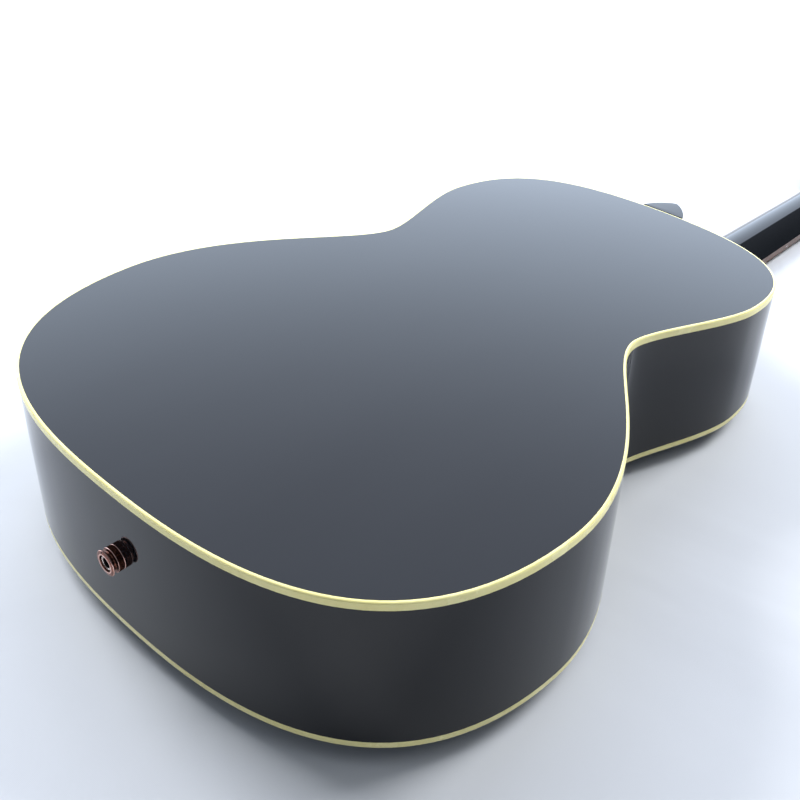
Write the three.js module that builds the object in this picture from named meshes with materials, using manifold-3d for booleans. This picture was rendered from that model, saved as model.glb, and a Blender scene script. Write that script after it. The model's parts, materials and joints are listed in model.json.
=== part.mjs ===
// A small-bodied steel-string acoustic guitar with 14 frets clear of the body. Millimetres.
// It lies face down, back up, on its bridge pins and on the sixth string at the nut.
// The guitar's own frame: x to the bass side, y from the tail to the headstock, z from the soundboard's
// outer face (z = 0) up to the back. The last lines turn that frame level and put the origin at the
// bottom centre of the whole object, +Z up.
import * as THREE from "three";
import { mergeVertices } from "three/addons/utils/BufferGeometryUtils.js";
import Module from "manifold-3d";

const wasm = await Module();
wasm.setup();

// ---- Driving dimensions ----
const GAP = 0.3; // room between neighbouring pieces

// Body outline: a half outline of four curves, each given by its end stations and its handle lengths.
const BODY_LENGTH = 516.8;
const LOWER_BOUT = { half: 190.5, y: 142.6, tailHandle: 132.6, waistHandle: 83 };
const WAIST = { half: 108, y: 316.5, lowerHandle: 35.4, upperHandle: 23.3 };
const UPPER_BOUT = { half: 134.3, y: 421.3, waistHandle: 33.3, neckHandle: 81 };
const TAIL_HANDLE = 80.2;
const NECK_END_HANDLE = 75.8;
const CURVE_STEPS = 9;

// Depth: the back is a dome of large radius and the sides taper towards the neck.
const TAIL_DEPTH = 114.7;
const DEPTH_TAPER = 14.6;
const DOME_RADIUS = 3510;

const SIDE_THICKNESS = 2.4;
const PLATE_THICKNESS = 3;
const BINDING = { width: 2.6, height: 4.8 };
const LINING = { width: 6.3, height: 12.7 };
const SOUNDHOLE = { y: 373, radius: 50 };

// Scale and neck
const SCALE_LENGTH = 628.65;
const FRETS = 20;
const BODY_FRET = 14;
const fretDistance = (n) => SCALE_LENGTH * (1 - 2 ** (-n / 12));
const NUT_Y = BODY_LENGTH + fretDistance(BODY_FRET);
const SADDLE_Y = NUT_Y - SCALE_LENGTH;
const BOARD = { nutHalf: 21.75, bodyHalf: 27, thickness: 6.8, overhang: 5.5, radius: 305 };
const FRET = { width: 2.2, height: 1.1 };
const NECK_THICKNESS = { body: 17.5, nut: 14.5 };
const NUT = { length: 4.7, height: 8, crown: 1.2, backSlope: 1.9 };
const HEEL_TOP = 87.6;
const HEEL_CAP_THICKNESS = 2.5;
const HEEL_POINT = 1.35; // exponent of the heel's arch: 1 is a sharp wedge and 2 an ellipse
const TENON = { half: 9, inner: 488, low: 5.6, high: 77 };
const ROD_Z = 8.8;
const ROD = { width: 6, height: 5.8 };

// Headstock, in its own frame: x, y along it from the nut, z from its face to its back
const HEAD_ANGLE = THREE.MathUtils.degToRad(14);
const HEAD = { thickness: 15, length: 180, nutHalf: 22, shoulder: 35, endHalf: 38 };
const TUNER_ROWS = [46, 86, 126];
const TUNER_X = [24, 25.5, 27];
const POST_RADIUS = 3;
const GEAR = { radius: 5, teeth: 14, thickness: 3 };
const WORM_RADIUS = 2.4;
const WORM_OFFSET = GEAR.radius + WORM_RADIUS + GAP;
const GEAR_Z = HEAD.thickness + 3.2;

// Strings: diameters from the first to the sixth, and where they run
const STRING_DIAMETERS = [0.3, 0.41, 0.61, 0.81, 1.07, 1.35];
const BRIDGE_SPACING = 10.8;
const NUT_SPACING = 7.2;
const NUT_STRING_Z = -8.6;
const SADDLE_STRING_Z = -12.4;
const WINDING_Z = -5;
const WINDING_TURNS = 3;

// Bridge
const BRIDGE = { half: 76, top: 246, wing: 221, belly: 209, thickness: 8.5, wingThickness: 3.5, plateau: 46 };
const PIN = { y: 220, radius: 2.4, headRadius: 3.4, headHeight: 4.7, hole: 2.7, reach: 24 };
const STRING_Y = PIN.y + 4.4;
const STRING_SLOT = 1;
const SADDLE = { half: 36, thickness: 2.4, angle: THREE.MathUtils.degToRad(3) };

// ---- Materials ----
const finish = (color, roughness, metalness = 0) =>
  new THREE.MeshStandardMaterial({ color, roughness, metalness });
const MATERIALS = {
  blackLacquer: finish(0x0b0c0f, 0.12),
  binding: finish(0xe6e2a6, 0.35),
  spruce: finish(0xd9b98a, 0.6),
  mahogany: finish(0x6b3a22, 0.6),
  rosewood: finish(0x2c1a14, 0.45),
  bone: finish(0xece4cf, 0.4),
  tortoise: finish(0x3a1a0e, 0.25),
  bronze: finish(0x8a5a3c, 0.3, 0.9),
  steel: finish(0xb8babd, 0.3, 1),
  nickel: finish(0xc9c6bd, 0.22, 1),
  button: finish(0xe9dfb4, 0.35),
  antiqueCopper: finish(0x7c4a36, 0.35, 0.9),
};

// ---- Geometry helpers ----
// A closed geometry as a manifold solid.
function solidOf(geometry) {
  const bare = geometry.index ? geometry.toNonIndexed() : geometry.clone();
  bare.deleteAttribute("normal");
  bare.deleteAttribute("uv");
  const merged = mergeVertices(bare, 1e-4);
  return new wasm.Manifold(
    new wasm.Mesh({
      numProp: 3,
      vertProperties: merged.attributes.position.array,
      triVerts: new Uint32Array(merged.index.array),
    }),
  );
}

// A manifold solid as a flat-shaded geometry.
function geometryOf(solid) {
  const mesh = solid.getMesh();
  const geometry = new THREE.BufferGeometry();
  geometry.setAttribute("position", new THREE.BufferAttribute(mesh.vertProperties, 3));
  geometry.setIndex(new THREE.BufferAttribute(mesh.triVerts, 1));
  geometry.computeVertexNormals();
  return geometry;
}

const joined = (...geometries) =>
  geometries.map(solidOf).reduce((whole, piece) => whole.add(piece));
const without = (solid, ...cutters) =>
  cutters.map(solidOf).reduce((left, cutter) => left.subtract(cutter), solid);

function extrude(points, depth, z = 0, holes = []) {
  const shape = points instanceof THREE.Shape ? points : new THREE.Shape(points);
  shape.holes.push(...holes.map((hole) => new THREE.Path(hole)));
  return new THREE.ExtrudeGeometry(shape, {
    depth,
    bevelEnabled: false,
    curveSegments: 8,
  }).translate(0, 0, z);
}

function box(x0, x1, y0, y1, z0, z1) {
  return new THREE.BoxGeometry(x1 - x0, y1 - y0, z1 - z0).translate(
    (x0 + x1) / 2,
    (y0 + y1) / 2,
    (z0 + z1) / 2,
  );
}

// A closed lathe about the z axis from [radius, z] points that start and end on the axis, z rising.
function lathe(points, segments) {
  const profile = points.map(([radius, z]) => new THREE.Vector2(radius, z));
  return new THREE.LatheGeometry(profile, segments).rotateX(Math.PI / 2);
}

// A ring about the z axis with a rectangular section.
function ring(inner, outer, z0, z1, segments) {
  const corners = [
    [inner, z0],
    [outer, z0],
    [outer, z1],
    [inner, z1],
    [inner, z0],
  ];
  return lathe(corners, segments);
}

function rod(from, to, radius, sides) {
  const circle = new THREE.Shape();
  circle.absarc(0, 0, radius, 0, 2 * Math.PI);
  const section = new THREE.Shape(circle.getSpacedPoints(sides).slice(0, sides));
  return new THREE.ExtrudeGeometry(section, {
    extrudePath: new THREE.LineCurve3(from, to),
    steps: 1,
    bevelEnabled: false,
  });
}

// A closed body through rings of equal length; each ring is a list of [x, y, z].
function loft(rings) {
  const count = rings[0].length;
  const positions = rings.flat(2);
  const middle = (points) =>
    [0, 1, 2].map((k) => points.reduce((sum, p) => sum + p[k], 0) / points.length);
  positions.push(...middle(rings[0]), ...middle(rings.at(-1)));
  const first = rings.length * count;
  const index = [];
  for (let i = 0; i < count; i++) {
    const j = (i + 1) % count;
    for (let r = 0; r + 1 < rings.length; r++) {
      const a = r * count;
      const b = a + count;
      index.push(a + i, a + j, b + j, a + i, b + j, b + i);
    }
    const last = first - count;
    index.push(first, j, i, first + 1, last + i, last + j);
  }
  const geometry = new THREE.BufferGeometry();
  geometry.setAttribute("position", new THREE.Float32BufferAttribute(positions, 3));
  geometry.setIndex(index);
  return geometry;
}

// ---- Body shape ----
const vector = (x, y) => new THREE.Vector2(x, y);

function halfOutlineCurves() {
  const lower = vector(LOWER_BOUT.half, LOWER_BOUT.y);
  const waist = vector(WAIST.half, WAIST.y);
  const upper = vector(UPPER_BOUT.half, UPPER_BOUT.y);
  const along = (point, dy) => vector(point.x, point.y + dy);
  return [
    new THREE.CubicBezierCurve(
      vector(0, 0),
      vector(TAIL_HANDLE, 0),
      along(lower, -LOWER_BOUT.tailHandle),
      lower,
    ),
    new THREE.CubicBezierCurve(
      lower,
      along(lower, LOWER_BOUT.waistHandle),
      along(waist, -WAIST.lowerHandle),
      waist,
    ),
    new THREE.CubicBezierCurve(
      waist,
      along(waist, WAIST.upperHandle),
      along(upper, -UPPER_BOUT.waistHandle),
      upper,
    ),
    new THREE.CubicBezierCurve(
      upper,
      along(upper, UPPER_BOUT.neckHandle),
      vector(NECK_END_HANDLE, BODY_LENGTH),
      vector(0, BODY_LENGTH),
    ),
  ];
}

// The closed body outline moved inwards by inset, anticlockwise from the tail.
function bodyOutline(inset) {
  const half = [];
  for (const curve of halfOutlineCurves()) {
    for (let i = 0; i < CURVE_STEPS; i++) {
      const tangent = curve.getTangent(i / CURVE_STEPS);
      const point = curve.getPoint(i / CURVE_STEPS);
      half.push(vector(point.x - tangent.y * inset, point.y + tangent.x * inset));
    }
  }
  const neckEnd = vector(0, BODY_LENGTH - inset);
  const mirrored = half.slice(1).reverse();
  return [...half, neckEnd, ...mirrored.map((p) => vector(-p.x, p.y))];
}

function backHeight(x, y) {
  const fromCentre = x * x + (y - BODY_LENGTH / 2) ** 2;
  return TAIL_DEPTH - (DEPTH_TAPER * y) / BODY_LENGTH - fromCentre / (2 * DOME_RADIUS);
}

// Moves each vertex from z to place(z, height of the back there).
function follow(geometry, place) {
  const p = geometry.attributes.position;
  for (let i = 0; i < p.count; i++) {
    p.setZ(i, place(p.getZ(i), backHeight(p.getX(i), p.getY(i))));
  }
  return geometry;
}

// A band of the rim between two insets. Its ends at z0 and z1 stay level or follow the back.
const rimBand = (outer, inner, z0, z1) =>
  extrude(bodyOutline(outer), z1 - z0, z0, [bodyOutline(inner)]);

function backPlate() {
  const rings = 3;
  const outline = bodyOutline(BINDING.width + GAP);
  const centre = vector(0, WAIST.y);
  const surface = (share, below) =>
    outline.map((edge) => {
      const p = centre.clone().lerp(edge, share);
      return [p.x, p.y, backHeight(p.x, p.y) - below];
    });
  const shares = Array.from({ length: rings }, (_, i) => (i + 0.5) / (rings - 0.5));
  return loft([
    ...shares.map((share) => surface(share, PLATE_THICKNESS)),
    ...shares.reverse().map((share) => surface(share, 0)),
  ]);
}

// ---- Rim, linings and blocks ----
function sides() {
  const low = BINDING.height + GAP;
  const band = rimBand(0, SIDE_THICKNESS, low, low + 1);
  const rim = solidOf(
    follow(band, (z, back) => (z < low + 0.5 ? low : back - BINDING.height - GAP)),
  );
  const wide = 2 * LOWER_BOUT.half;
  const slot = TENON.half + GAP;
  const neckOpening = box(-slot, slot, TENON.inner, BODY_LENGTH + 5, 0, 2 * TAIL_DEPTH);
  const half = (x0, x1) => solidOf(box(x0, x1, -5, BODY_LENGTH + 5, 0, 2 * TAIL_DEPTH));
  const bass = without(rim.intersect(half(GAP / 2, wide)), neckOpening);
  const treble = without(rim.intersect(half(-wide, -GAP / 2)), neckOpening);
  return { bass: geometryOf(bass), treble: geometryOf(treble) };
}

const topBinding = () => rimBand(0, BINDING.width, 0, BINDING.height);
const backBinding = () =>
  follow(
    rimBand(0, BINDING.width, 0, BINDING.height),
    (z, back) => back - BINDING.height + z,
  );

const liningInset = SIDE_THICKNESS + GAP;
const plateInner = PLATE_THICKNESS + GAP;

const NECK_BLOCK = { half: 34, inner: 464 };
const TAIL_BLOCK = { half: 38, inner: 22 };

// A lining runs in one strip from one side of the neck block, past the tail, to the other side.
function liningStrip(band) {
  const half = NECK_BLOCK.half + GAP;
  const gap = box(-half, half, NECK_BLOCK.inner, BODY_LENGTH, -1, 2 * TAIL_DEPTH);
  return geometryOf(without(solidOf(band), gap));
}

const liningBand = (z0) =>
  rimBand(liningInset, liningInset + LINING.width, z0, z0 + LINING.height);
const topLining = () => liningStrip(liningBand(plateInner));
const backLining = () =>
  liningStrip(
    follow(liningBand(0), (z, back) => back - plateInner - LINING.height + z),
  );

// A wooden block between the plates, shaped to the sides.
function endBlock(halfWidth, y0, y1) {
  const lowest = Math.min(backHeight(halfWidth, y0), backHeight(halfWidth, y1));
  const blank = box(-halfWidth, halfWidth, y0, y1, plateInner, lowest - plateInner - GAP);
  return solidOf(blank).intersect(solidOf(extrude(bodyOutline(liningInset), 2 * TAIL_DEPTH)));
}

const JACK = { z: 56.7, barrel: 6, hole: 3.2, inner: 40, strap: 7.9, groove: 5.6 };

function tailBlock() {
  const bore = new THREE.CylinderGeometry(JACK.barrel + GAP, JACK.barrel + GAP, 60, 20);
  const notchInner = liningInset + LINING.width + GAP;
  const topNotch = rimBand(liningInset - 1, notchInner, 0, plateInner + LINING.height + GAP);
  const backNotch = follow(rimBand(liningInset - 1, notchInner, 0, 1), (z, back) =>
    z < 0.5 ? back - plateInner - LINING.height - 4 * GAP : 2 * TAIL_DEPTH,
  );
  const block = endBlock(TAIL_BLOCK.half, 0, TAIL_BLOCK.inner);
  return geometryOf(without(block, topNotch, backNotch, bore.translate(0, 15, JACK.z)));
}

function neckBlock() {
  const slot = TENON.half + GAP;
  const mortise = box(
    -slot,
    slot,
    TENON.inner - GAP,
    BODY_LENGTH + 5,
    TENON.low - GAP,
    TENON.high + GAP,
  );
  const block = endBlock(NECK_BLOCK.half, NECK_BLOCK.inner, BODY_LENGTH);
  return geometryOf(without(block, mortise));
}

// The tail's hole for the jack goes through both sides, which meet there.
function boredAtTail(side) {
  const bore = new THREE.CylinderGeometry(JACK.barrel + GAP, JACK.barrel + GAP, 20, 20);
  return geometryOf(without(solidOf(side), bore.translate(0, 0, JACK.z)));
}

// ---- Soundboard and its braces ----
// A hole for a bridge pin and its string, long enough that the string rises clear of the pin's head.
function pinHole(x, z0, z1) {
  const shape = new THREE.Shape();
  shape.absarc(x, PIN.y, PIN.hole, Math.PI, 2 * Math.PI);
  shape.absarc(x, STRING_Y + STRING_SLOT - PIN.hole, PIN.hole, 0, Math.PI);
  return extrude(new THREE.Shape(shape.getPoints(3)), z1 - z0, z0);
}

const bridgeX = (string) => (string - 3.5) * BRIDGE_SPACING;
const nutX = (string) => (string - 3.5) * NUT_SPACING;
const STRINGS = [1, 2, 3, 4, 5, 6];
const pinHoles = (z0, z1) => STRINGS.map((string) => pinHole(bridgeX(string), z0, z1));

function topPlate() {
  const hole = new THREE.Path().absarc(0, SOUNDHOLE.y, SOUNDHOLE.radius, 0, 2 * Math.PI);
  const plate = extrude(bodyOutline(BINDING.width + GAP), PLATE_THICKNESS, 0, [
    hole.getPoints(20).slice(1),
  ]);
  return geometryOf(without(solidOf(plate), ...pinHoles(-5, 10)));
}

// A straight brace on the soundboard between two points, with its ends scooped down to a third.
function topBrace([x0, y0], [x1, y1], width, height) {
  const length = Math.hypot(x1 - x0, y1 - y0);
  const scoop = Math.min(40, length / 4);
  const profile = [
    vector(0, 0),
    vector(length, 0),
    vector(length, height / 3),
    vector(length - scoop, height),
    vector(scoop, height),
    vector(0, height / 3),
  ];
  return extrude(profile, width, -width / 2)
    .rotateX(Math.PI / 2)
    .rotateZ(Math.atan2(y1 - y0, x1 - x0))
    .translate(x0, y0, plateInner);
}

// The two legs of the X cross at a half-lap joint.
function xBraces() {
  const width = 8;
  const height = 14;
  const cross = 286;
  const bass = topBrace([-100, 373], [168, 140], width, height);
  const treble = topBrace([100, 373], [-168, 140], width, height);
  const lap = width / 2 + GAP;
  const turned = (z0, z1, sign) => {
    const notch = box(-20, 20, -lap, lap, z0, z1);
    return notch.rotateZ(sign * Math.atan2(233, 268)).translate(0, cross, 0);
  };
  const middle = plateInner + height / 2;
  return {
    bass: geometryOf(without(solidOf(bass), turned(0, middle + GAP / 2, 1))),
    treble: geometryOf(without(solidOf(treble), turned(middle - GAP / 2, 40, -1))),
  };
}

function bridgePlate() {
  const outline = [vector(-76, 210), vector(76, 210), vector(38, 246), vector(-38, 246)];
  const plate = extrude(outline, PLATE_THICKNESS, plateInner);
  return geometryOf(without(solidOf(plate), ...pinHoles(0, 10)));
}

// A ladder brace under the back at station y; its upper face follows the dome.
function backBrace(y, half, width, height) {
  const under = (x) =>
    Math.min(backHeight(x, y - width / 2), backHeight(x, y + width / 2)) - plateInner - GAP;
  const steps = 8;
  const upper = Array.from({ length: steps + 1 }, (_, i) => {
    const x = half - (2 * half * i) / steps;
    return vector(x, under(x));
  });
  const low = under(0) - height;
  const profile = [vector(-half + 35, low), vector(half - 35, low), ...upper];
  return extrude(profile, width, -width / 2)
    .rotateX(Math.PI / 2)
    .translate(0, y, 0);
}

// ---- Bridge, saddle, pins and pickguard ----
function bridge() {
  const plan = new THREE.Shape();
  plan.moveTo(BRIDGE.half, BRIDGE.top);
  plan.lineTo(-BRIDGE.half, BRIDGE.top);
  plan.lineTo(-BRIDGE.half, BRIDGE.wing);
  plan.lineTo(-BRIDGE.plateau, BRIDGE.wing);
  plan.quadraticCurveTo(0, 2 * BRIDGE.belly - BRIDGE.wing, BRIDGE.plateau, BRIDGE.wing);
  plan.lineTo(BRIDGE.half, BRIDGE.wing);
  const block = extrude(plan, BRIDGE.thickness, -BRIDGE.thickness - GAP);
  const elevation = [
    vector(-BRIDGE.half - 1, 1),
    vector(-BRIDGE.half - 1, -BRIDGE.wingThickness),
    vector(-BRIDGE.plateau - 8, -BRIDGE.wingThickness - 1),
    vector(-BRIDGE.plateau, -BRIDGE.thickness - 1),
    vector(BRIDGE.plateau, -BRIDGE.thickness - 1),
    vector(BRIDGE.plateau + 8, -BRIDGE.wingThickness - 1),
    vector(BRIDGE.half + 1, -BRIDGE.wingThickness),
    vector(BRIDGE.half + 1, 1),
  ];
  const side = extrude(elevation, 60).rotateX(Math.PI / 2).translate(0, 256, 0);
  const slotHalf = SADDLE.thickness / 2 + GAP;
  const slot = box(-SADDLE.half - GAP, SADDLE.half + GAP, -slotHalf, slotHalf, -20, -4.5);
  slot.rotateZ(-SADDLE.angle).translate(0, SADDLE_Y, 0);
  const cut = solidOf(block).intersect(solidOf(side));
  return geometryOf(without(cut, slot, ...pinHoles(-20, 5)));
}

function saddle() {
  const half = SADDLE.thickness / 2;
  const crown = SADDLE_STRING_Z + GAP;
  return box(-SADDLE.half, SADDLE.half, -half, half, crown, -4.5 - GAP)
    .rotateZ(-SADDLE.angle)
    .translate(0, SADDLE_Y, 0);
}

function bridgePin(x) {
  const top = -BRIDGE.thickness - 2 * GAP;
  const head = PIN.headRadius;
  return lathe(
    [
      [0, top - PIN.headHeight],
      [head * 0.6, top - PIN.headHeight],
      [head, top - PIN.headHeight * 0.55],
      [head * 0.8, top],
      [PIN.radius, top],
      [PIN.radius * 0.85, top + PIN.reach],
      [0, top + PIN.reach],
    ],
    12,
  ).translate(x, PIN.y, 0);
}

function pickguard() {
  const inner = SOUNDHOLE.radius + 7;
  const start = THREE.MathUtils.degToRad(165);
  const end = THREE.MathUtils.degToRad(262);
  const shape = new THREE.Shape();
  shape.absarc(0, SOUNDHOLE.y, inner, start, end, false);
  shape.bezierCurveTo(-14, 288, -22, 264, -52, 262);
  shape.bezierCurveTo(-92, 260, -104, 288, -98, 324);
  shape.bezierCurveTo(-92, 356, -76, 390, inner * Math.cos(start), SOUNDHOLE.y + inner * Math.sin(start));
  return extrude(shape, 1, -1 - GAP);
}

// ---- Jack in the tail ----
// Turns a lathe about z into one about y whose z points out of the tail.
const outOfTail = (geometry) => geometry.rotateX(Math.PI / 2).translate(0, 0, JACK.z);

function jackBarrel() {
  const r = JACK.barrel;
  return outOfTail(
    lathe(
      [
        [JACK.hole, 7.6],
        [JACK.hole, -JACK.inner],
        [r, -JACK.inner],
        [r, 1],
        [4.6, 1],
        [4.6, 7.6],
        [JACK.hole, 7.6],
      ],
      16,
    ),
  );
}

// The strap button: a knurled flange against the wood, a groove for the strap and an outer lip.
function strapRing() {
  const bore = 4.6 + GAP;
  return outOfTail(
    lathe(
      [
        [bore, 1 + GAP],
        [JACK.strap - 0.4, 1 + GAP],
        [JACK.strap - 0.4, 4.4],
        [JACK.groove, 4.9],
        [JACK.groove, 6.3],
        [JACK.strap, 7],
        [JACK.strap, 7.8],
        [JACK.strap - 1.2, 8.3],
        [bore, 8.3],
        [bore, 1 + GAP],
      ],
      18,
    ),
  );
}

// A hex nut on the barrel, against the inside of the tail block.
function jackNut() {
  const hex = new THREE.Shape();
  hex.absarc(0, 0, 9.5, 0, 2 * Math.PI);
  const hole = new THREE.Path().absarc(0, 0, JACK.barrel + GAP, 0, 2 * Math.PI);
  const shape = new THREE.Shape(hex.getSpacedPoints(6).slice(0, 6));
  shape.holes.push(new THREE.Path(hole.getSpacedPoints(20).slice(0, 20)));
  return outOfTail(extrude(shape, 3, -25.5));
}

// ---- Neck ----
const boardHalf = (y) =>
  THREE.MathUtils.mapLinear(y, BODY_LENGTH, NUT_Y, BOARD.bodyHalf, BOARD.nutHalf);

function neckShaft() {
  const section = (y) => {
    const half = boardHalf(y);
    const high = THREE.MathUtils.mapLinear(
      y,
      BODY_LENGTH,
      NUT_Y,
      NECK_THICKNESS.body,
      NECK_THICKNESS.nut,
    );
    const steps = 10;
    return Array.from({ length: steps + 1 }, (_, i) => {
      const angle = (Math.PI * i) / steps;
      const lift = Math.sin(angle) ** 0.85;
      return [-half * Math.cos(angle), y, high * lift];
    });
  };
  const end = NUT_Y + NUT.length + GAP;
  return loft([BODY_LENGTH + GAP, 606, 745, end].map(section));
}

// The heel: level slices, each an arch that stands out of the body by reach.
const HEEL_SLICES = [
  [10, 26, 66],
  [15, 25.5, 58],
  [22, 24.5, 42],
  [32, 23, 31],
  [46, 21, 25],
  [64, 19.5, 22],
  [HEEL_TOP, 18, 20.5],
];

function archOutline(half, reach, steps) {
  return Array.from({ length: steps + 1 }, (_, i) => {
    const angle = (Math.PI * i) / steps;
    const side = Math.abs(Math.cos(angle)) ** (2 / HEEL_POINT) * Math.sign(Math.cos(angle));
    return [half * side, BODY_LENGTH + GAP + reach * Math.sin(angle) ** (2 / HEEL_POINT)];
  });
}

const heel = () =>
  loft(
    HEEL_SLICES.map(([z, half, reach]) =>
      archOutline(half, reach, 14).map(([x, y]) => [x, y, z]),
    ),
  );

function heelCap() {
  const outline = archOutline(18, 20.5, 14).map(([x, y]) => vector(x, y));
  return extrude(outline, HEEL_CAP_THICKNESS, HEEL_TOP + GAP);
}

const HEAD_ORIGIN = new THREE.Vector3(0, NUT_Y + NUT.length + GAP, 0);
const headMatrix = new THREE.Matrix4().makeRotationX(HEAD_ANGLE).setPosition(HEAD_ORIGIN);

function headstockBlank() {
  const shape = new THREE.Shape();
  shape.moveTo(HEAD.nutHalf, 0);
  shape.bezierCurveTo(HEAD.nutHalf, 14, HEAD.shoulder, 12, HEAD.shoulder, 30);
  shape.lineTo(HEAD.endHalf, HEAD.length - 16);
  shape.quadraticCurveTo(HEAD.endHalf / 2, HEAD.length + 2, 0, HEAD.length);
  shape.quadraticCurveTo(-HEAD.endHalf / 2, HEAD.length + 2, -HEAD.endHalf, HEAD.length - 16);
  shape.lineTo(-HEAD.shoulder, 30);
  shape.bezierCurveTo(-HEAD.shoulder, 12, -HEAD.nutHalf, 14, -HEAD.nutHalf, 0);
  return extrude(shape, HEAD.thickness);
}

const TUNERS = STRINGS.map((string) => {
  const side = string > 3 ? 1 : -1;
  const row = string > 3 ? 6 - string : string - 1;
  return { string, side, x: side * TUNER_X[row], y: TUNER_ROWS[row] };
});

function neck() {
  const end = NUT_Y + NUT.length;
  const tenon = box(-TENON.half, TENON.half, TENON.inner, BODY_LENGTH + 10, TENON.low, TENON.high);
  const wood = joined(neckShaft(), heel(), tenon, headstockBlank().applyMatrix4(headMatrix));
  const slot = ROD.width / 2 + GAP;
  const channel = box(-slot, slot, TENON.inner - 5, end + 6, -5, ROD_Z + slot);
  const pocket = box(-5.5, 5.5, end + GAP, end + 24, -5, ROD_Z + 4.4);
  const postHoles = TUNERS.map(({ x, y }) => {
    const radius = POST_RADIUS + 2 * GAP;
    const hole = new THREE.CylinderGeometry(radius, radius, 60, 10).rotateX(Math.PI / 2);
    return hole.translate(x, y, 0).applyMatrix4(headMatrix);
  });
  return geometryOf(without(wood, channel, pocket, ...postHoles));
}

// The fretboard with its frets, which share one solid.
function fretboard() {
  const end = NUT_Y - fretDistance(FRETS) - BOARD.overhang;
  const low = -BOARD.thickness - GAP;
  // Each section is level where it is glued down and arched where it is played.
  const section = (y, proud, inset) => {
    const half = boardHalf(y) - inset;
    const steps = 4;
    const arched = Array.from({ length: steps + 1 }, (_, i) => {
      const x = half - (2 * half * i) / steps;
      return [x, y, low - proud + (x * x) / (2 * BOARD.radius)];
    });
    return [[-half, y, -GAP - inset], [half, y, -GAP - inset], ...arched];
  };
  const fretBars = Array.from({ length: FRETS }, (_, i) => {
    const y = NUT_Y - fretDistance(i + 1);
    return loft([
      section(y - FRET.width / 2, FRET.height, 0.5),
      section(y + FRET.width / 2, FRET.height, 0.5),
    ]);
  });
  return geometryOf(joined(loft([section(end, 0, 0), section(NUT_Y, 0, 0)]), ...fretBars));
}

// The nut is highest at the fretboard and falls away towards the headstock.
function nut() {
  const crown = -GAP - NUT.height;
  const profile = [
    vector(NUT_Y + GAP, -GAP),
    vector(NUT_Y + GAP, crown),
    vector(NUT_Y + NUT.crown, crown),
    vector(NUT_Y + NUT.length, crown + NUT.backSlope),
    vector(NUT_Y + NUT.length, -GAP),
  ];
  const width = 2 * BOARD.nutHalf;
  return extrude(profile, width, -width / 2).rotateX(Math.PI / 2).rotateZ(Math.PI / 2);
}

const ROD_END = HEAD_ORIGIN.y + 3;
function trussRod() {
  const half = ROD.width / 2;
  const low = ROD_Z - ROD.height / 2;
  return box(-half, half, TENON.inner, ROD_END - GAP, low, low + ROD.height);
}

function trussRodNut() {
  const hex = new THREE.CylinderGeometry(3.6, 3.6, 8, 6);
  return hex.translate(0, 4, 0);
}

function trussRodCover() {
  const shape = new THREE.Shape();
  shape.moveTo(9, 2);
  shape.lineTo(11, 14);
  shape.quadraticCurveTo(9, 30, 0, 38);
  shape.quadraticCurveTo(-9, 30, -11, 14);
  shape.lineTo(-9, 2);
  return extrude(shape, 1.6, -1.6 - GAP);
}

// ---- Tuning machines, in the headstock's frame ----
// One base plate with a covered gear housing for each of a side's three posts.
function tunerPlate(side) {
  const own = TUNERS.filter((tuner) => tuner.side === side);
  const back = HEAD.thickness + GAP;
  const across = (x0, x1, y0, y1, z0, z1) =>
    side > 0 ? box(x0, x1, y0, y1, z0, z1) : box(-x1, -x0, y0, y1, z0, z1);
  const plate = across(16, 34, TUNER_ROWS[0] - 14, TUNER_ROWS[2] + 18, back, back + 1.2);
  const covers = own.map(({ x, y }) =>
    across(Math.abs(x) - 7, Math.abs(x) + 7, y - 7, y + WORM_OFFSET + 5, back, back + 10),
  );
  const cavities = own.map(({ x, y }) =>
    across(Math.abs(x) - 6, Math.abs(x) + 6, y - 6, y + WORM_OFFSET + 4, back + 1.2, back + 9),
  );
  const bores = own.flatMap(({ x, y }) => {
    const radius = POST_RADIUS + 2 * GAP;
    const post = new THREE.CylinderGeometry(radius, radius, 8, 10).rotateX(Math.PI / 2);
    const shaft = new THREE.CylinderGeometry(2.5, 2.5, 14, 10).rotateZ(Math.PI / 2);
    const z = GEAR_Z + GEAR.thickness / 2;
    return [
      post.translate(x, y, HEAD.thickness),
      shaft.translate(x + side * 10, y + WORM_OFFSET, z),
    ];
  });
  return geometryOf(without(joined(plate, ...covers), ...cavities, ...bores));
}

// A string post with its worm wheel, about z.
function tunerPost() {
  const teeth = [];
  for (let i = 0; i < 2 * GEAR.teeth; i++) {
    const angle = (Math.PI * (i + 0.5)) / GEAR.teeth;
    const radius = GEAR.radius - (i % 4 < 2 ? 0 : 0.6);
    teeth.push(vector(radius * Math.cos(angle), radius * Math.sin(angle)));
  }
  const wheel = extrude(teeth, GEAR.thickness, GEAR_Z);
  const shaft = lathe(
    [
      [0, -15],
      [POST_RADIUS - 0.6, -15],
      [POST_RADIUS, -13.5],
      [POST_RADIUS, GEAR_Z + GEAR.thickness],
      [0, GEAR_Z + GEAR.thickness],
    ],
    10,
  );
  return geometryOf(joined(shaft, wheel));
}

// A worm, its shaft and the finger button, about x, outwards from the post.
function tunerButton() {
  const turned = lathe(
    [
      [0, -5],
      [WORM_RADIUS, -5],
      [WORM_RADIUS, 5],
      [2, 5],
      [2, 12],
      [3, 12],
      [3.4, 16],
      [2.6, 16.5],
      [2.6, 18],
      [0, 18],
    ],
    12,
  );
  const outline = new THREE.Shape();
  outline.absellipse(0, 25, 9.5, 9, 0, 2 * Math.PI);
  const grip = extrude(new THREE.Shape(outline.getSpacedPoints(18).slice(0, 18)), 6, -3);
  return geometryOf(joined(turned.rotateY(Math.PI / 2), grip.rotateZ(-Math.PI / 2)));
}

// ---- Strings ----
const towards = (a, b, distance) => b.clone().sub(a).setLength(distance).add(a);

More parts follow.
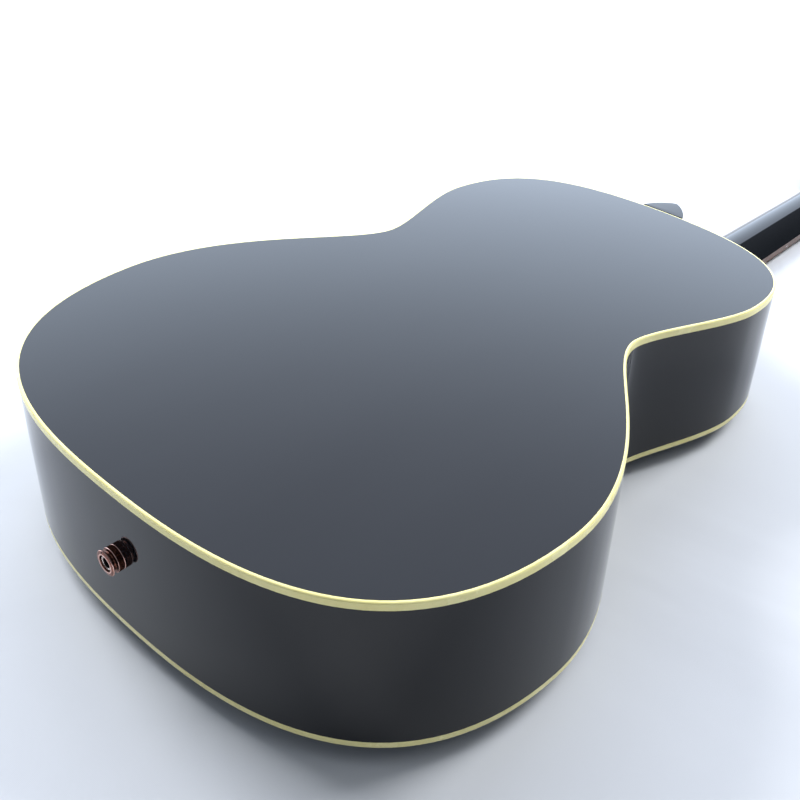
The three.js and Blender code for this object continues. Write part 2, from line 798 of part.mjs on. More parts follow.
// A string from its ball end under the bridge plate to the windings on its post.
function stringSolid(string) {
  const radius = STRING_DIAMETERS[string - 1] / 2;
  const tuner = TUNERS[string - 1];
  const point = (x, y, z) => new THREE.Vector3(x, y, z);
  const saddleY = SADDLE_Y - bridgeX(string) * Math.tan(SADDLE.angle);
  const coilInner = POST_RADIUS + GAP;
  const coilHigh = WINDING_TURNS * 2 * radius;
  const coilMiddle = WINDING_Z - radius;
  const onPost = point(tuner.x - tuner.side * (coilInner + radius), tuner.y, coilMiddle);
  const stations = [
    point(bridgeX(string), STRING_Y, plateInner + PLATE_THICKNESS + 2),
    point(bridgeX(string), STRING_Y, -BRIDGE.thickness - GAP - 0.2 - radius),
    point(bridgeX(string), saddleY, SADDLE_STRING_Z - radius),
    point(nutX(string), NUT_Y + NUT.crown, NUT_STRING_Z - radius),
    onPost.applyMatrix4(headMatrix),
  ];
  const sides = 6;
  const spans = stations.slice(1).map((to, i) => {
    const from = stations[i];
    return rod(towards(from, to, -radius / 2), towards(to, from, -radius / 2), radius, sides);
  });
  const coil = ring(coilInner, coilInner + 2 * radius, WINDING_Z - coilHigh, WINDING_Z, 12);
  coil.translate(tuner.x, tuner.y, 0).applyMatrix4(headMatrix);
  return geometryOf(joined(...spans, coil));
}

// ---- Assembly ----
const guitar = new THREE.Group();
const headstock = new THREE.Group();
headstock.applyMatrix4(headMatrix);
guitar.add(headstock);

function add(name, geometry, material, group = guitar) {
  const mesh = new THREE.Mesh(geometry, material);
  mesh.name = name;
  group.add(mesh);
  return mesh;
}

const rim = sides();
add("back_plate", backPlate(), MATERIALS.blackLacquer);
add("top_plate", topPlate(), MATERIALS.blackLacquer);
add("side_bass", boredAtTail(rim.bass), MATERIALS.blackLacquer);
add("side_treble", boredAtTail(rim.treble), MATERIALS.blackLacquer);
add("back_binding", backBinding(), MATERIALS.binding);
add("top_binding", topBinding(), MATERIALS.binding);
add("back_lining", backLining(), MATERIALS.mahogany);
add("top_lining", topLining(), MATERIALS.mahogany);
add("neck_block", neckBlock(), MATERIALS.mahogany);
add("tail_block", tailBlock(), MATERIALS.mahogany);

const cross = xBraces();
add("x_brace_bass", cross.bass, MATERIALS.spruce);
add("x_brace_treble", cross.treble, MATERIALS.spruce);
add("upper_transverse_brace", topBrace([-116, 436], [116, 436], 12, 15), MATERIALS.spruce);
add("tone_bar_upper", topBrace([84, 178], [-106, 106], 7, 11), MATERIALS.spruce);
add("tone_bar_lower", topBrace([104, 134], [-64, 60], 7, 9), MATERIALS.spruce);
add("bridge_plate", bridgePlate(), MATERIALS.spruce);
add("back_brace_1", backBrace(78, 140, 16, 12), MATERIALS.spruce);
add("back_brace_2", backBrace(178, 158, 16, 12), MATERIALS.spruce);
add("back_brace_3", backBrace(304, 92, 8, 16), MATERIALS.spruce);
add("back_brace_4", backBrace(414, 112, 8, 16), MATERIALS.spruce);

add("bridge", bridge(), MATERIALS.rosewood);
add("saddle", saddle(), MATERIALS.bone);
add("pickguard", pickguard(), MATERIALS.tortoise);
for (const string of STRINGS) {
  add(`bridge_pin_${string}`, bridgePin(bridgeX(string)), MATERIALS.bone);
}

add("endpin_jack", jackBarrel(), MATERIALS.nickel);
add("strap_ring", strapRing(), MATERIALS.antiqueCopper);
add("jack_nut", jackNut(), MATERIALS.nickel);

add("neck", neck(), MATERIALS.blackLacquer);
add("heel_cap", heelCap(), MATERIALS.blackLacquer);
add("fretboard", fretboard(), MATERIALS.rosewood);
add("nut", nut(), MATERIALS.bone);
add("truss_rod", trussRod(), MATERIALS.steel);
add("truss_rod_nut", trussRodNut(), MATERIALS.nickel).position.set(0, ROD_END, ROD_Z);
add("truss_rod_cover", trussRodCover(), MATERIALS.blackLacquer, headstock);

add("tuner_plate_bass", tunerPlate(1), MATERIALS.nickel, headstock);
add("tuner_plate_treble", tunerPlate(-1), MATERIALS.nickel, headstock);
for (const { string, side, x, y } of TUNERS) {
  add(`tuner_post_${string}`, tunerPost(), MATERIALS.nickel, headstock).position.set(x, y, 0);
  const button = add(`tuner_button_${string}`, tunerButton(), MATERIALS.button, headstock);
  button.position.set(x, y + WORM_OFFSET, GEAR_Z + GEAR.thickness / 2);
  button.rotation.z = side > 0 ? 0 : Math.PI;
}
for (const string of STRINGS) {
  const material = string > 2 ? MATERIALS.bronze : MATERIALS.steel;
  add(`string_${string}`, stringSolid(string), material);
}

// Level the plane through the pin heads and the sixth string at the nut, then put the origin at the
// bottom centre of the whole object.
const pinDrop = BRIDGE.thickness + 2 * GAP + PIN.headHeight;
const nutDrop = -NUT_STRING_Z + STRING_DIAMETERS[5];
guitar.rotation.x = -Math.atan2(pinDrop - nutDrop, NUT_Y + NUT.crown - PIN.y);
const bounds = new THREE.Box3().setFromObject(guitar, true);
guitar.position.set(0, -(bounds.min.y + bounds.max.y) / 2, -bounds.min.z);

export default guitar;
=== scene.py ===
import json
import math

import bmesh
import bpy
import numpy as np
from mathutils import Matrix, Vector

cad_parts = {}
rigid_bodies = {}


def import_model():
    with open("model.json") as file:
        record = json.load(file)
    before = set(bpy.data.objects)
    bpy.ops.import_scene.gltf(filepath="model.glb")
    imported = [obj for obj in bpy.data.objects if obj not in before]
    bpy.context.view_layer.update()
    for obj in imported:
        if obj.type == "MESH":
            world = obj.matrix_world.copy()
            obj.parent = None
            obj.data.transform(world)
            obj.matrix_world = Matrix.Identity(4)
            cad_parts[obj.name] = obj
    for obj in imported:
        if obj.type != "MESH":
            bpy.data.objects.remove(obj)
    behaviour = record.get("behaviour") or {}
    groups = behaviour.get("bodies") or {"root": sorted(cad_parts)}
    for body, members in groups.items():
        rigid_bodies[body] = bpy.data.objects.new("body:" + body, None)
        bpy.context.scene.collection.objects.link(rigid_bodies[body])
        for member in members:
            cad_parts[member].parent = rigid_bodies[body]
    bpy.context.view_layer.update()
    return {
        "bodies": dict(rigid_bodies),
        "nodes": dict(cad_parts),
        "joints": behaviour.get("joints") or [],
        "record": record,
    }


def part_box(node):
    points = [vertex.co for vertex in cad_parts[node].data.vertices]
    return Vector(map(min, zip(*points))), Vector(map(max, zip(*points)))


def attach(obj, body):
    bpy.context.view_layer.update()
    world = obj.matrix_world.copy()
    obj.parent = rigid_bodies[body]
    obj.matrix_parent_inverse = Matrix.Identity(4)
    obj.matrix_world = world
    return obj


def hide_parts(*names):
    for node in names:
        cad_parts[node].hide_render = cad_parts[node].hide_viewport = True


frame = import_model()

# Lengths are in millimetres in the guitar's own frame: x to the bass side, y from the tail to the
# headstock, z from the soundboard's outer face up to the back. to_row() takes them to the row frame.
MM = 0.001

# ---- Dimensions shared with the CAD part ----
BODY_LENGTH = 516.8
WAIST_Y = 316.5
HALF_OUTLINE = [
    [(0, 0), (80.2, 0), (190.5, 10), (190.5, 142.6)],
    [(190.5, 142.6), (190.5, 225.6), (108, 281.1), (108, 316.5)],
    [(108, 316.5), (108, 339.8), (134.3, 388), (134.3, 421.3)],
    [(134.3, 421.3), (134.3, 502.3), (75.8, 516.8), (0, 516.8)],
]
TAIL_DEPTH, DEPTH_TAPER, DOME_RADIUS = 114.7, 14.6, 3510.0
PLATE, SIDE, LIP, BINDING_HEIGHT = 3.0, 2.4, 1.9, 4.8
SOUNDHOLE_Y, SOUNDHOLE_R = 373.0, 50.0
SCALE = 628.65
fret_distance = lambda n: SCALE * (1 - 2 ** (-n / 12))
NUT_Y = BODY_LENGTH + fret_distance(14)
SADDLE_Y = NUT_Y - SCALE
NUT_LENGTH, NUT_HEIGHT, NUT_HALF = 4.7, 8.0, 21.75
BOARD_THICKNESS, BOARD_RADIUS, BODY_HALF = 6.8, 305.0, 27.0
NUT_STRING, SADDLE_STRING = -8.6, -12.4
GAP = 0.3
HEEL_TOP, HEEL_HALF, HEEL_REACH, HEEL_POINT = 87.6, 18.0, 20.5, 1.48
HEAD_ANGLE = math.radians(14)
HEAD_THICKNESS = 15.0
JACK_Z = 56.7
SADDLE_SLANT = math.radians(3)
PIN_Y, PIN_HEAD_HEIGHT = 220.0, 4.7
BRIDGE_TOP = 8.5
TUNER_ROWS, TUNER_X = (46, 86, 126), (24, 25.5, 27)
WORM_OFFSET, WORM_Z = 7.7, 19.7
POST_R, WHEEL_TOP, TEETH = 3.0, 21.2, 14
STRING_DIAMETERS = (0.3, 0.41, 0.61, 0.81, 1.07, 1.35)
STRINGS = range(1, 7)
FRET_COUNT, OCTAVE_FRET = 20, 12
# The linings leave room for the two end blocks: how far along y they reach, and their half widths.
NECK_BLOCK_Y, NECK_BLOCK_HALF = 464, 35
TAIL_BLOCK_Y, TAIL_BLOCK_HALF = 20, 39
bridge_x = lambda string: (string - 3.5) * 10.8
nut_x = lambda string: (string - 3.5) * 7.2
board_half = lambda y: float(np.interp(y, (BODY_LENGTH, NUT_Y), (BODY_HALF, NUT_HALF)))

# ---- Frames ----
pin_drop = BRIDGE_TOP + 2 * GAP + PIN_HEAD_HEIGHT
nut_drop = STRING_DIAMETERS[5] - NUT_STRING
TILT = -math.atan2(pin_drop - nut_drop, NUT_Y + 1.2 - PIN_Y)
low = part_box("top_binding")[0]
SHIFT = Vector((0, low.y, low.z - math.sin(TILT) * BODY_LENGTH * MM))
TO_ROW = Matrix.Translation(SHIFT) @ Matrix.Rotation(TILT, 4, "X") @ Matrix.Scale(MM, 4)
HEAD = Matrix.Translation((0, NUT_Y + NUT_LENGTH + GAP, 0)) @ Matrix.Rotation(HEAD_ANGLE, 4, "X")
HEAD_TO_ROW = TO_ROW @ HEAD


def along(*points):
    """A smooth curve through points (Catmull-Rom), as a function that gives n samples."""
    p = np.array(points, float)
    p = np.vstack([2 * p[0] - p[1], p, 2 * p[-1] - p[-2]])

    def sample(n):
        t = np.linspace(0, len(p) - 3 - 1e-9, n)
        i, f = t.astype(int), (t % 1)[:, None]
        a, b, c, d = p[i], p[i + 1], p[i + 2], p[i + 3]
        return 0.5 * (2 * b + (c - a) * f + (2 * a - 5 * b + 4 * c - d) * f**2
                      + (3 * b - a - 3 * c + d) * f**3)

    return sample


def resample(points, n):
    """n points at equal steps along a polyline."""
    p = np.array(points, float)
    s = np.concatenate([[0], np.cumsum(np.linalg.norm(np.diff(p, axis=0), axis=1))])
    at = np.linspace(0, s[-1], n)
    return np.column_stack([np.interp(at, s, p[:, k]) for k in range(p.shape[1])])


def put(name, data):
    """A new object in the scene."""
    made = bpy.data.objects.new(name, data)
    bpy.context.scene.collection.objects.link(made)
    return made


def set_stops(node, stops):
    """Gives a colour ramp node its (position, colour) stops."""
    elements = node.color_ramp.elements
    while len(elements) < len(stops):
        elements.new(1)
    for element, (position, color) in zip(elements, stops):
        element.position, element.color = position, (*color, 1)


# ---- Materials ----
class Shader:
    """A Principled material built up node by node."""

    def __init__(self, name):
        self.material = bpy.data.materials.new(name)
        self.material.use_nodes = True
        self.tree = self.material.node_tree
        self.shader = self.tree.nodes["Principled BSDF"]
        self.where = self.node("ShaderNodeTexCoord").outputs["Object"]

    def node(self, kind, **values):
        made = self.tree.nodes.new(kind)
        for key, value in values.items():
            setattr(made, key, value)
        return made

    def link(self, source, target):
        self.tree.links.new(source, target)

    def stretched(self, x, y, z):
        mapping = self.node("ShaderNodeMapping")
        mapping.inputs["Scale"].default_value = (x, y, z)
        self.link(self.where, mapping.inputs["Vector"])
        return mapping.outputs["Vector"]

    def noise(self, scale, detail=3.0, roughness=0.5, distortion=0.0, where=None):
        made = self.node("ShaderNodeTexNoise")
        self.link(where or self.where, made.inputs["Vector"])
        for key, value in (("Scale", scale), ("Detail", detail), ("Roughness", roughness),
                           ("Distortion", distortion)):
            made.inputs[key].default_value = value
        return made.outputs["Fac"]

    def waves(self, scale, direction="X", distortion=0.0, where=None):
        made = self.node("ShaderNodeTexWave", wave_type="BANDS", bands_direction=direction)
        self.link(where or self.where, made.inputs["Vector"])
        made.inputs["Scale"].default_value = scale
        made.inputs["Distortion"].default_value = distortion
        made.inputs["Detail"].default_value = 2
        return made.outputs["Fac"]

    def ramp(self, source, *stops):
        made = self.node("ShaderNodeValToRGB")
        set_stops(made, stops)
        self.link(source, made.inputs["Fac"])
        return made.outputs["Color"]

    def range(self, source, low, high, from_low=0.3, from_high=0.7):
        made = self.node("ShaderNodeMapRange")
        self.link(source, made.inputs["Value"])
        for key, value in (("From Min", from_low), ("From Max", from_high), ("To Min", low),
                           ("To Max", high)):
            made.inputs[key].default_value = value
        return made.outputs["Result"]

    def math(self, operation, a, b):
        made = self.node("ShaderNodeMath", operation=operation)
        for socket, value in zip(made.inputs, (a, b)):
            if isinstance(value, (int, float)):
                socket.default_value = value
            else:
                self.link(value, socket)
        return made.outputs["Value"]

    def mix(self, factor, a, b):
        made = self.node("ShaderNodeMix", data_type="RGBA")
        for socket, value in zip((made.inputs[0], made.inputs[6], made.inputs[7]), (factor, a, b)):
            if isinstance(value, (int, float)):
                socket.default_value = value
            elif isinstance(value, tuple):
                socket.default_value = (*value, 1)
            else:
                self.link(value, socket)
        return made.outputs[2]

    def bump(self, *heights):
        """Bumps from (source, height in mm) pairs, one on top of the other."""
        normal = None
        for source, height in heights:
            made = self.node("ShaderNodeBump")
            made.inputs["Distance"].default_value = height * MM
            self.link(source, made.inputs["Height"])
            if normal:
                self.link(normal, made.inputs["Normal"])
            normal = made.outputs["Normal"]
        self.link(normal, self.shader.inputs["Normal"])

    def finish(self, **values):
        """Sets or links sockets: base_color=..., roughness=... and so on."""
        for key, value in values.items():
            socket = self.shader.inputs[key.replace("_", " ").title().replace("Ior", "IOR")]
            if hasattr(value, "is_linked"):
                self.link(value, socket)
            else:
                socket.default_value = (*value, 1) if isinstance(value, tuple) else value
        return self.material


def lacquer():
    s = Shader("black_lacquer")
    haze = s.noise(7, 4, where=s.stretched(3, 1, 1))
    scuffs = s.noise(60, 6, 0.7, where=s.stretched(1, 6, 1))
    s.bump((s.noise(11, 1), 0.03), (s.noise(420, 2), 0.0006))
    color = s.ramp(haze, (0.3, (0.0035, 0.0039, 0.0050)), (0.7, (0.0052, 0.0057, 0.0070)))
    rough = s.math("ADD", s.range(haze, 0.020, 0.045), s.range(scuffs, 0.0, 0.030, 0.55, 0.8))
    return s.finish(base_color=color, roughness=rough, ior=1.38)


def cream_plastic():
    s = Shader("cream_binding")
    age = s.noise(38, 4, 0.6)
    color = s.ramp(age, (0.25, (0.80, 0.70, 0.27)), (0.55, (0.86, 0.77, 0.34)),
                   (0.8, (0.89, 0.82, 0.43)))
    grime = s.range(s.noise(300, 3), 0.0, 0.25, 0.62, 0.8)
    s.bump((s.noise(160, 2), 0.01), (s.noise(1400, 2), 0.002))
    return s.finish(base_color=s.mix(grime, color, (0.52, 0.45, 0.17)),
                    roughness=s.range(age, 0.16, 0.30), ior=1.48)


def wood(name, dark, light, grain, fine, rough, height, pores=0.0, swirl=2.0):
    """Timber with its grain along y: bands, fine streaks and short pores."""
    s = Shader(name)
    bands = s.waves(grain, "X", swirl, s.stretched(1, 0.07, 1))
    streaks = s.noise(fine, 6, 0.65, 0.4, s.stretched(1, 0.035, 1))
    pore = s.noise(fine * 3.2, 2, 0.4, 0, s.stretched(1, 0.05, 1))
    tone = s.math("ADD", s.math("MULTIPLY", bands, 0.45), s.math("MULTIPLY", streaks, 0.75))
    color = s.ramp(tone, (0.25, dark), (0.85, light))
    hole = s.range(pore, 0.0, pores, 0.60, 0.68)
    s.bump((streaks, height), (pore, height * 0.7))
    return s.finish(base_color=s.mix(hole, color, tuple(0.35 * c for c in dark)),
                    roughness=s.range(streaks, rough - 0.1, rough + 0.1), ior=1.45)


def bone():
    s = Shader("bone")
    cloud = s.noise(120, 4, 0.6)
    fibre = s.noise(900, 3, 0.5, 0, s.stretched(0.1, 1, 1))
    s.bump((fibre, 0.01))
    color = s.ramp(cloud, (0.3, (0.72, 0.64, 0.46)), (0.7, (0.84, 0.78, 0.63)))
    return s.finish(base_color=color, roughness=s.range(fibre, 0.25, 0.42), ior=1.5,
                    subsurface_weight=0.08, subsurface_scale=0.001)


def tortoise():
    s = Shader("tortoiseshell")
    where = s.stretched(1, 0.6, 1)
    blots = s.noise(46, 3, 0.55, 1.6, where)
    flecks = s.noise(190, 4, 0.6, 0.8, where)
    tone = s.math("ADD", s.math("MULTIPLY", blots, 0.8), s.math("MULTIPLY", flecks, 0.25))
    color = s.ramp(tone, (0.42, (0.012, 0.003, 0.002)), (0.52, (0.085, 0.018, 0.006)),
                   (0.64, (0.21, 0.062, 0.014)))
    s.bump((s.noise(30, 1), 0.02))
    return s.finish(base_color=color, roughness=s.range(flecks, 0.06, 0.16), ior=1.5)


def metal(name, color, worn, low, high, brush=0.0, patina=None):
    s = Shader(name)
    cloud = s.noise(260, 5, 0.65)
    lines = s.noise(1500, 3, 0.6, 0, s.stretched(1, 0.05, 1))
    tone = s.ramp(cloud, (0.3, color), (0.75, worn))
    if patina:
        tone = s.mix(s.range(s.noise(900, 4, 0.7), 0, 1, 0.45, 0.62), tone, patina)
    s.bump((lines, 0.002 + brush), (s.noise(3200, 2), 0.0008))
    return s.finish(base_color=tone, metallic=1.0, roughness=s.range(cloud, low, high))


def ivory():
    s = Shader("button_plastic")
    swirl = s.noise(90, 3, 0.5, 2.2)
    color = s.ramp(swirl, (0.3, (0.70, 0.60, 0.33)), (0.5, (0.80, 0.72, 0.47)),
                   (0.7, (0.86, 0.80, 0.60)))
    s.bump((s.noise(900, 2), 0.003))
    return s.finish(base_color=color, roughness=s.range(swirl, 0.14, 0.28), ior=1.5)


def pearl():
    s = Shader("mother_of_pearl")
    layers = s.noise(240, 3, 0.5, 3.0)
    color = s.ramp(layers, (0.3, (0.50, 0.60, 0.58)), (0.5, (0.78, 0.74, 0.66)),
                   (0.7, (0.66, 0.60, 0.70)))
    s.bump((layers, 0.01))
    return s.finish(base_color=color, roughness=s.range(layers, 0.12, 0.25), ior=1.6)


def ebony_plastic():
    s = Shader("black_plastic")
    grain = s.noise(800, 3)
    s.bump((grain, 0.004))
    color = s.ramp(grain, (0.3, (0.008, 0.008, 0.009)), (0.7, (0.02, 0.02, 0.02)))
    return s.finish(base_color=color, roughness=s.range(grain, 0.25, 0.4))


def wound(name, dark, light, pitch):
    """A wound string: turns of wire across its length, from the uv that runs along it."""
    s = Shader(name)
    uv = s.node("ShaderNodeTexCoord").outputs["UV"]
    turns = s.waves(0.3142 / pitch, "X", 0, uv)
    tarnish = s.noise(160, 4, 0.6)
    s.bump((turns, 0.08))
    # The grooves between turns take the dark colour, varied by random tarnish, and the crests the light
    # one: painted shade in the grooves.
    color = s.mix(turns, s.ramp(tarnish, (0.3, dark), (0.7, tuple(1.5 * c for c in dark))), light)
    return s.finish(base_color=color, metallic=1.0, roughness=s.range(tarnish, 0.24, 0.38))


def cloth():
    s = Shader("pale_cloth")
    folds = s.noise(2.1, 3, 0.45, 0.9, s.stretched(1.0, 2.2, 1))
    creases = s.noise(9, 4, 0.55, 0.5, s.stretched(1.5, 0.6, 1))
    weave = s.math("ADD", s.waves(480, "X"), s.waves(480, "Y"))
    s.bump((folds, 5), (creases, 0.5), (weave, 0.02))
    # The colour follows the folds' heights, a little darker in their hollows: painted shade.
    color = s.ramp(folds, (0.3, (0.595, 0.600, 0.620)), (0.7, (0.630, 0.635, 0.655)))
    return s.finish(base_color=color, roughness=0.85, sheen_weight=0.15)


LACQUER = lacquer()
CREAM = cream_plastic()
SPRUCE = wood("spruce", (0.40, 0.24, 0.10), (0.70, 0.51, 0.29), 190, 260, 0.6, 0.05)
MAHOGANY = wood("mahogany", (0.10, 0.032, 0.016), (0.24, 0.095, 0.045), 30, 340, 0.6, 0.08, 0.8)
ROSEWOOD = wood("rosewood", (0.040, 0.024, 0.021), (0.160, 0.095, 0.074), 60, 300, 0.36, 0.06, 0.9, 5)
BONE = bone()
TORTOISE = tortoise()
NICKEL = metal("nickel", (0.60, 0.575, 0.53), (0.48, 0.46, 0.42), 0.16, 0.32)
STEEL = metal("steel", (0.56, 0.56, 0.57), (0.42, 0.42, 0.42), 0.22, 0.36)
FRET_METAL = metal("fret_metal", (0.66, 0.64, 0.60), (0.52, 0.50, 0.46), 0.12, 0.24)
# A bright copy of the copper for rims: painted highlights on the strap button's edges.
COPPER_HIGHLIGHT = metal("copper_painted_highlight", (0.88, 0.56, 0.48), (0.62, 0.34, 0.27), 0.20, 0.36)
# A pale pink copy of the nickel for the rim round the jack's mouth: a painted highlight, not wear.
NICKEL_HIGHLIGHT_RIM = metal("painted_highlight_rim", (0.72, 0.60, 0.54), (0.50, 0.40, 0.35), 0.18, 0.34)
DARK_COPPER = metal("antique_copper", (0.20, 0.075, 0.050), (0.36, 0.14, 0.09), 0.24, 0.42, 0.004,
                    (0.020, 0.010, 0.010))
IVORY = ivory()
PEARL = pearl()
BLACK = ebony_plastic()


# ---- Mesh making ----
def quads(rows, columns, close_rows=False, close_columns=True, offset=0):
    """Faces of a grid of rows x columns vertices."""
    r = np.arange(rows if close_rows else rows - 1)
    c = np.arange(columns if close_columns else columns - 1)
    r, c = (a.ravel() for a in np.meshgrid(r, c, indexing="ij"))
    r2, c2 = (r + 1) % rows, (c + 1) % columns
    corner = lambda i, j: offset + i * columns + j
    return np.column_stack([corner(r, c), corner(r, c2), corner(r2, c2), corner(r2, c)]).tolist()


def level(outline, z):
    """(x, y) points lifted to one height."""
    return np.column_stack([outline, np.full(len(outline), float(z))])


class Shape:
    """Vertices and faces that grow, with a material number for each face."""

    def __init__(self):
        self.points, self.faces, self.kinds, self.uvs = [], [], [], {}

    def add(self, points, faces, kind=0):
        start = len(self.points)
        self.points.extend(np.asarray(points, float).reshape(-1, 3).tolist())
        self.faces.extend([[start + i for i in face] for face in faces])
        self.kinds.extend(kind if isinstance(kind, list) else [kind] * len(faces))
        return self

    def loft(self, rings, kind=0, caps=True, closed=False):
        """Joins closed rings of equal length. kind may list one material for each band."""
        rings = np.asarray(rings, float)
        rows, columns = rings.shape[:2]
        faces = quads(rows, columns, closed)
        kinds = np.repeat(kind, columns).tolist() if isinstance(kind, list) else [kind] * len(faces)
        if caps and not closed:
            faces += [list(range(columns))[::-1], [(rows - 1) * columns + i for i in range(columns)]]
            kinds += [kinds[0], kinds[-1]]
        return self.add(rings, faces, kinds)

    def lathe(self, profile, segments, kind, place, closed=False):
        """Turns (radius, z) points about z; place then moves the points."""
        turn = np.linspace(0, 2 * np.pi, segments, endpoint=False)
        rings = [[(r * math.cos(a), r * math.sin(a), z) for a in turn] for r, z in profile]
        return self.loft(place(np.array(rings)), kind, caps=not closed, closed=closed)

    def tube(self, path, radius, sides):
        """A round tube along a path, with uvs that run along it in mm."""
        p = np.asarray(path, float)
        tangent = np.gradient(p, axis=0)
        tangent /= np.linalg.norm(tangent, axis=1)[:, None]
        normal = np.cross(tangent[0], (1, 0, 0) if abs(tangent[0][0]) < 0.9 else (0, 1, 0))
        rings, turn = [], np.linspace(0, 2 * np.pi, sides, endpoint=False)[:, None]
        for at, t in zip(p, tangent):
            normal = normal - t * (normal @ t)
            normal /= np.linalg.norm(normal)
            side = np.cross(t, normal)
            rings.append(at + radius * (np.cos(turn) * normal + np.sin(turn) * side))
        first = len(self.points)
        self.loft(rings)
        length = np.concatenate([[0], np.cumsum(np.linalg.norm(np.diff(p, axis=0), axis=1))])
        for i, s in enumerate(length):
            for j in range(sides):
                self.uvs[first + i * sides + j] = (s, j / sides)
        return self

    def prism(self, line, z0, z1):
        """A closed line of (x, y) points between two heights."""
        return self.loft([level(line, z0), level(line, z1)])

    def build(self, name, materials, slot, body="guitar", replaces=(), frame=TO_ROW, bevel=0,
              sharp=35, segments=3):
        """The finished piece: merged, bevelled at its hard edges, placed, and on its body."""
        mesh = bpy.data.meshes.new(name)
        mesh.from_pydata(self.points, [], self.faces)
        for material in materials if isinstance(materials, (list, tuple)) else [materials]:
            mesh.materials.append(material)
        mesh.polygons.foreach_set("material_index", self.kinds)
        work = bmesh.new()
        work.from_mesh(mesh)
        layer = work.loops.layers.uv.new("UVMap") if self.uvs else None
        if layer:
            for face in work.faces:
                for loop in face.loops:
                    loop[layer].uv = self.uvs.get(loop.vert.index, (0, 0))
        bmesh.ops.remove_doubles(work, verts=work.verts, dist=1e-4)
        bmesh.ops.dissolve_degenerate(work, edges=work.edges, dist=1e-5)
        bmesh.ops.recalc_face_normals(work, faces=work.faces)
        if bevel:
            hard = [e for e in work.edges if e.is_manifold and e.calc_face_angle() > math.radians(30)]
            bmesh.ops.bevel(work, geom=hard, offset=bevel, segments=segments, profile=0.6,
                            affect="EDGES", clamp_overlap=True)
        work.transform(frame)
        work.to_mesh(mesh)
        work.free()
        mesh.polygons.foreach_set("use_smooth", [True] * len(mesh.polygons))
        mesh.set_sharp_from_angle(angle=math.radians(sharp))
        piece = put(name, mesh)
        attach(piece, body)
        if replaces:
            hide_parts(*replaces)
        return piece


# ---- Body ----
def bezier(points, t):
    p = np.array(points, float)
    t = np.asarray(t)[:, None]
    u = 1 - t
    at = u**3 * p[0] + 3 * u * u * t * p[1] + 3 * u * t * t * p[2] + t**3 * p[3]
    slope = u * u * (p[1] - p[0]) + 2 * u * t * (p[2] - p[1]) + t * t * (p[3] - p[2])
    return at, slope / np.linalg.norm(slope, axis=1)[:, None]


def outline(inset, steps=36):
    """The closed body outline moved inwards, anticlockwise from the tail."""
    half = []
    for curve in HALF_OUTLINE:
        at, slope = bezier(curve, np.arange(steps) / steps)
        half.append(at + inset * np.column_stack([-slope[:, 1], slope[:, 0]]))
    half = np.vstack(half + [[(0, BODY_LENGTH - inset)]])
    return np.vstack([half, half[-2:0:-1] * (-1, 1)])


def dome(x, y):
    return (TAIL_DEPTH - DEPTH_TAPER * y / BODY_LENGTH
            - (x * x + (y - BODY_LENGTH / 2) ** 2) / (2 * DOME_RADIUS))


def rim(profile):
    """Rings round the rim from (inset, side, dz), with side 0 at the soundboard and 1 at the back."""
    rings = []
    for inset, side, dz in profile:
        p = outline(inset)
        rings.append(np.column_stack([p, side * dome(p[:, 0], p[:, 1]) + dz]))
    return rings


def rounded(radius, steps, side, sign):
    """The rounded outer corner of a binding."""
    turn = np.linspace(0, np.pi / 2, steps)
    return [(radius * (1 - math.cos(a)), side, sign * radius * (1 - math.sin(a))) for a in turn]


def make_body():
    middle = [(0, 0, BINDING_HEIGHT + 0.05), (0, 1, -BINDING_HEIGHT - 0.05)]
    inner = [(SIDE, 1, -BINDING_HEIGHT - 0.05), (SIDE, 0, BINDING_HEIGHT + 0.05)]
    rings = rim(middle + inner)
    Shape().loft(rings, [0, 0, 1, 1], closed=True).build(
        "sides", [LACQUER, MAHOGANY], "black_lacquer", replaces=("side_bass", "side_treble"))

    for name, side, sign in (("back_binding", 1, -1), ("top_binding", 0, 1)):
        edge = [(0, side, sign * BINDING_HEIGHT)] + rounded(1.25, 7, side, sign)
        edge += [(LIP, side, 0), (LIP, side, sign * BINDING_HEIGHT)]
        Shape().loft(rim(edge), closed=True).build(
            name + "_strip", CREAM, "cream_binding", replaces=(name,), sharp=50)

    # The domed back, in rings about the waist, black outside and bare timber inside.
    edge = outline(LIP + 0.04)
    centre = np.array((0, WAIST_Y))
    shell = []
    for share, below in [(s, 0) for s in np.linspace(0, 1, 22)[1:]] + [(1, PLATE), (0.5, PLATE)]:
        p = centre + (edge - centre) * share
        shell.append(np.column_stack([p, dome(p[:, 0], p[:, 1]) - below]))
    Shape().loft(shell, [0] * 20 + [1, 1]).build(
        "back", [LACQUER, MAHOGANY], "black_lacquer", replaces=("back_plate",))

    # The soundboard, with the edge of its hole showing the spruce.
    hole = np.array((0, SOUNDHOLE_Y))
    turn = np.arctan2(*(edge - hole).T[::-1])
    circle = lambda r: hole + r * np.column_stack([np.cos(turn), np.sin(turn)])
    rings = [level(circle(SOUNDHOLE_R), 0.5), level(circle(SOUNDHOLE_R + 0.5), 0), level(edge, 0),
             level(edge, PLATE), level(circle(SOUNDHOLE_R), PLATE)]
    Shape().loft(rings, [0, 0, 0, 1, 1], closed=True).build(
        "soundboard", [LACQUER, SPRUCE], "black_lacquer", replaces=("top_plate",))

    rings = Shape()
    for inner_r, outer_r, kind in ((54.0, 54.6, 0), (54.6, 56.6, 1), (56.6, 57.2, 0),
                                   (58.6, 59.0, 0), (59.0, 60.6, 2), (60.6, 61.0, 0)):
        profile = [(inner_r, 0.3), (inner_r, -0.03), (outer_r, -0.03), (outer_r, 0.3)]
        place = lambda r: r + np.array((0, SOUNDHOLE_Y, 0))
        rings.lathe(profile, 160, kind, place, closed=True)
    rings.build("rosette", [CREAM, PEARL, MAHOGANY], "cream_binding")


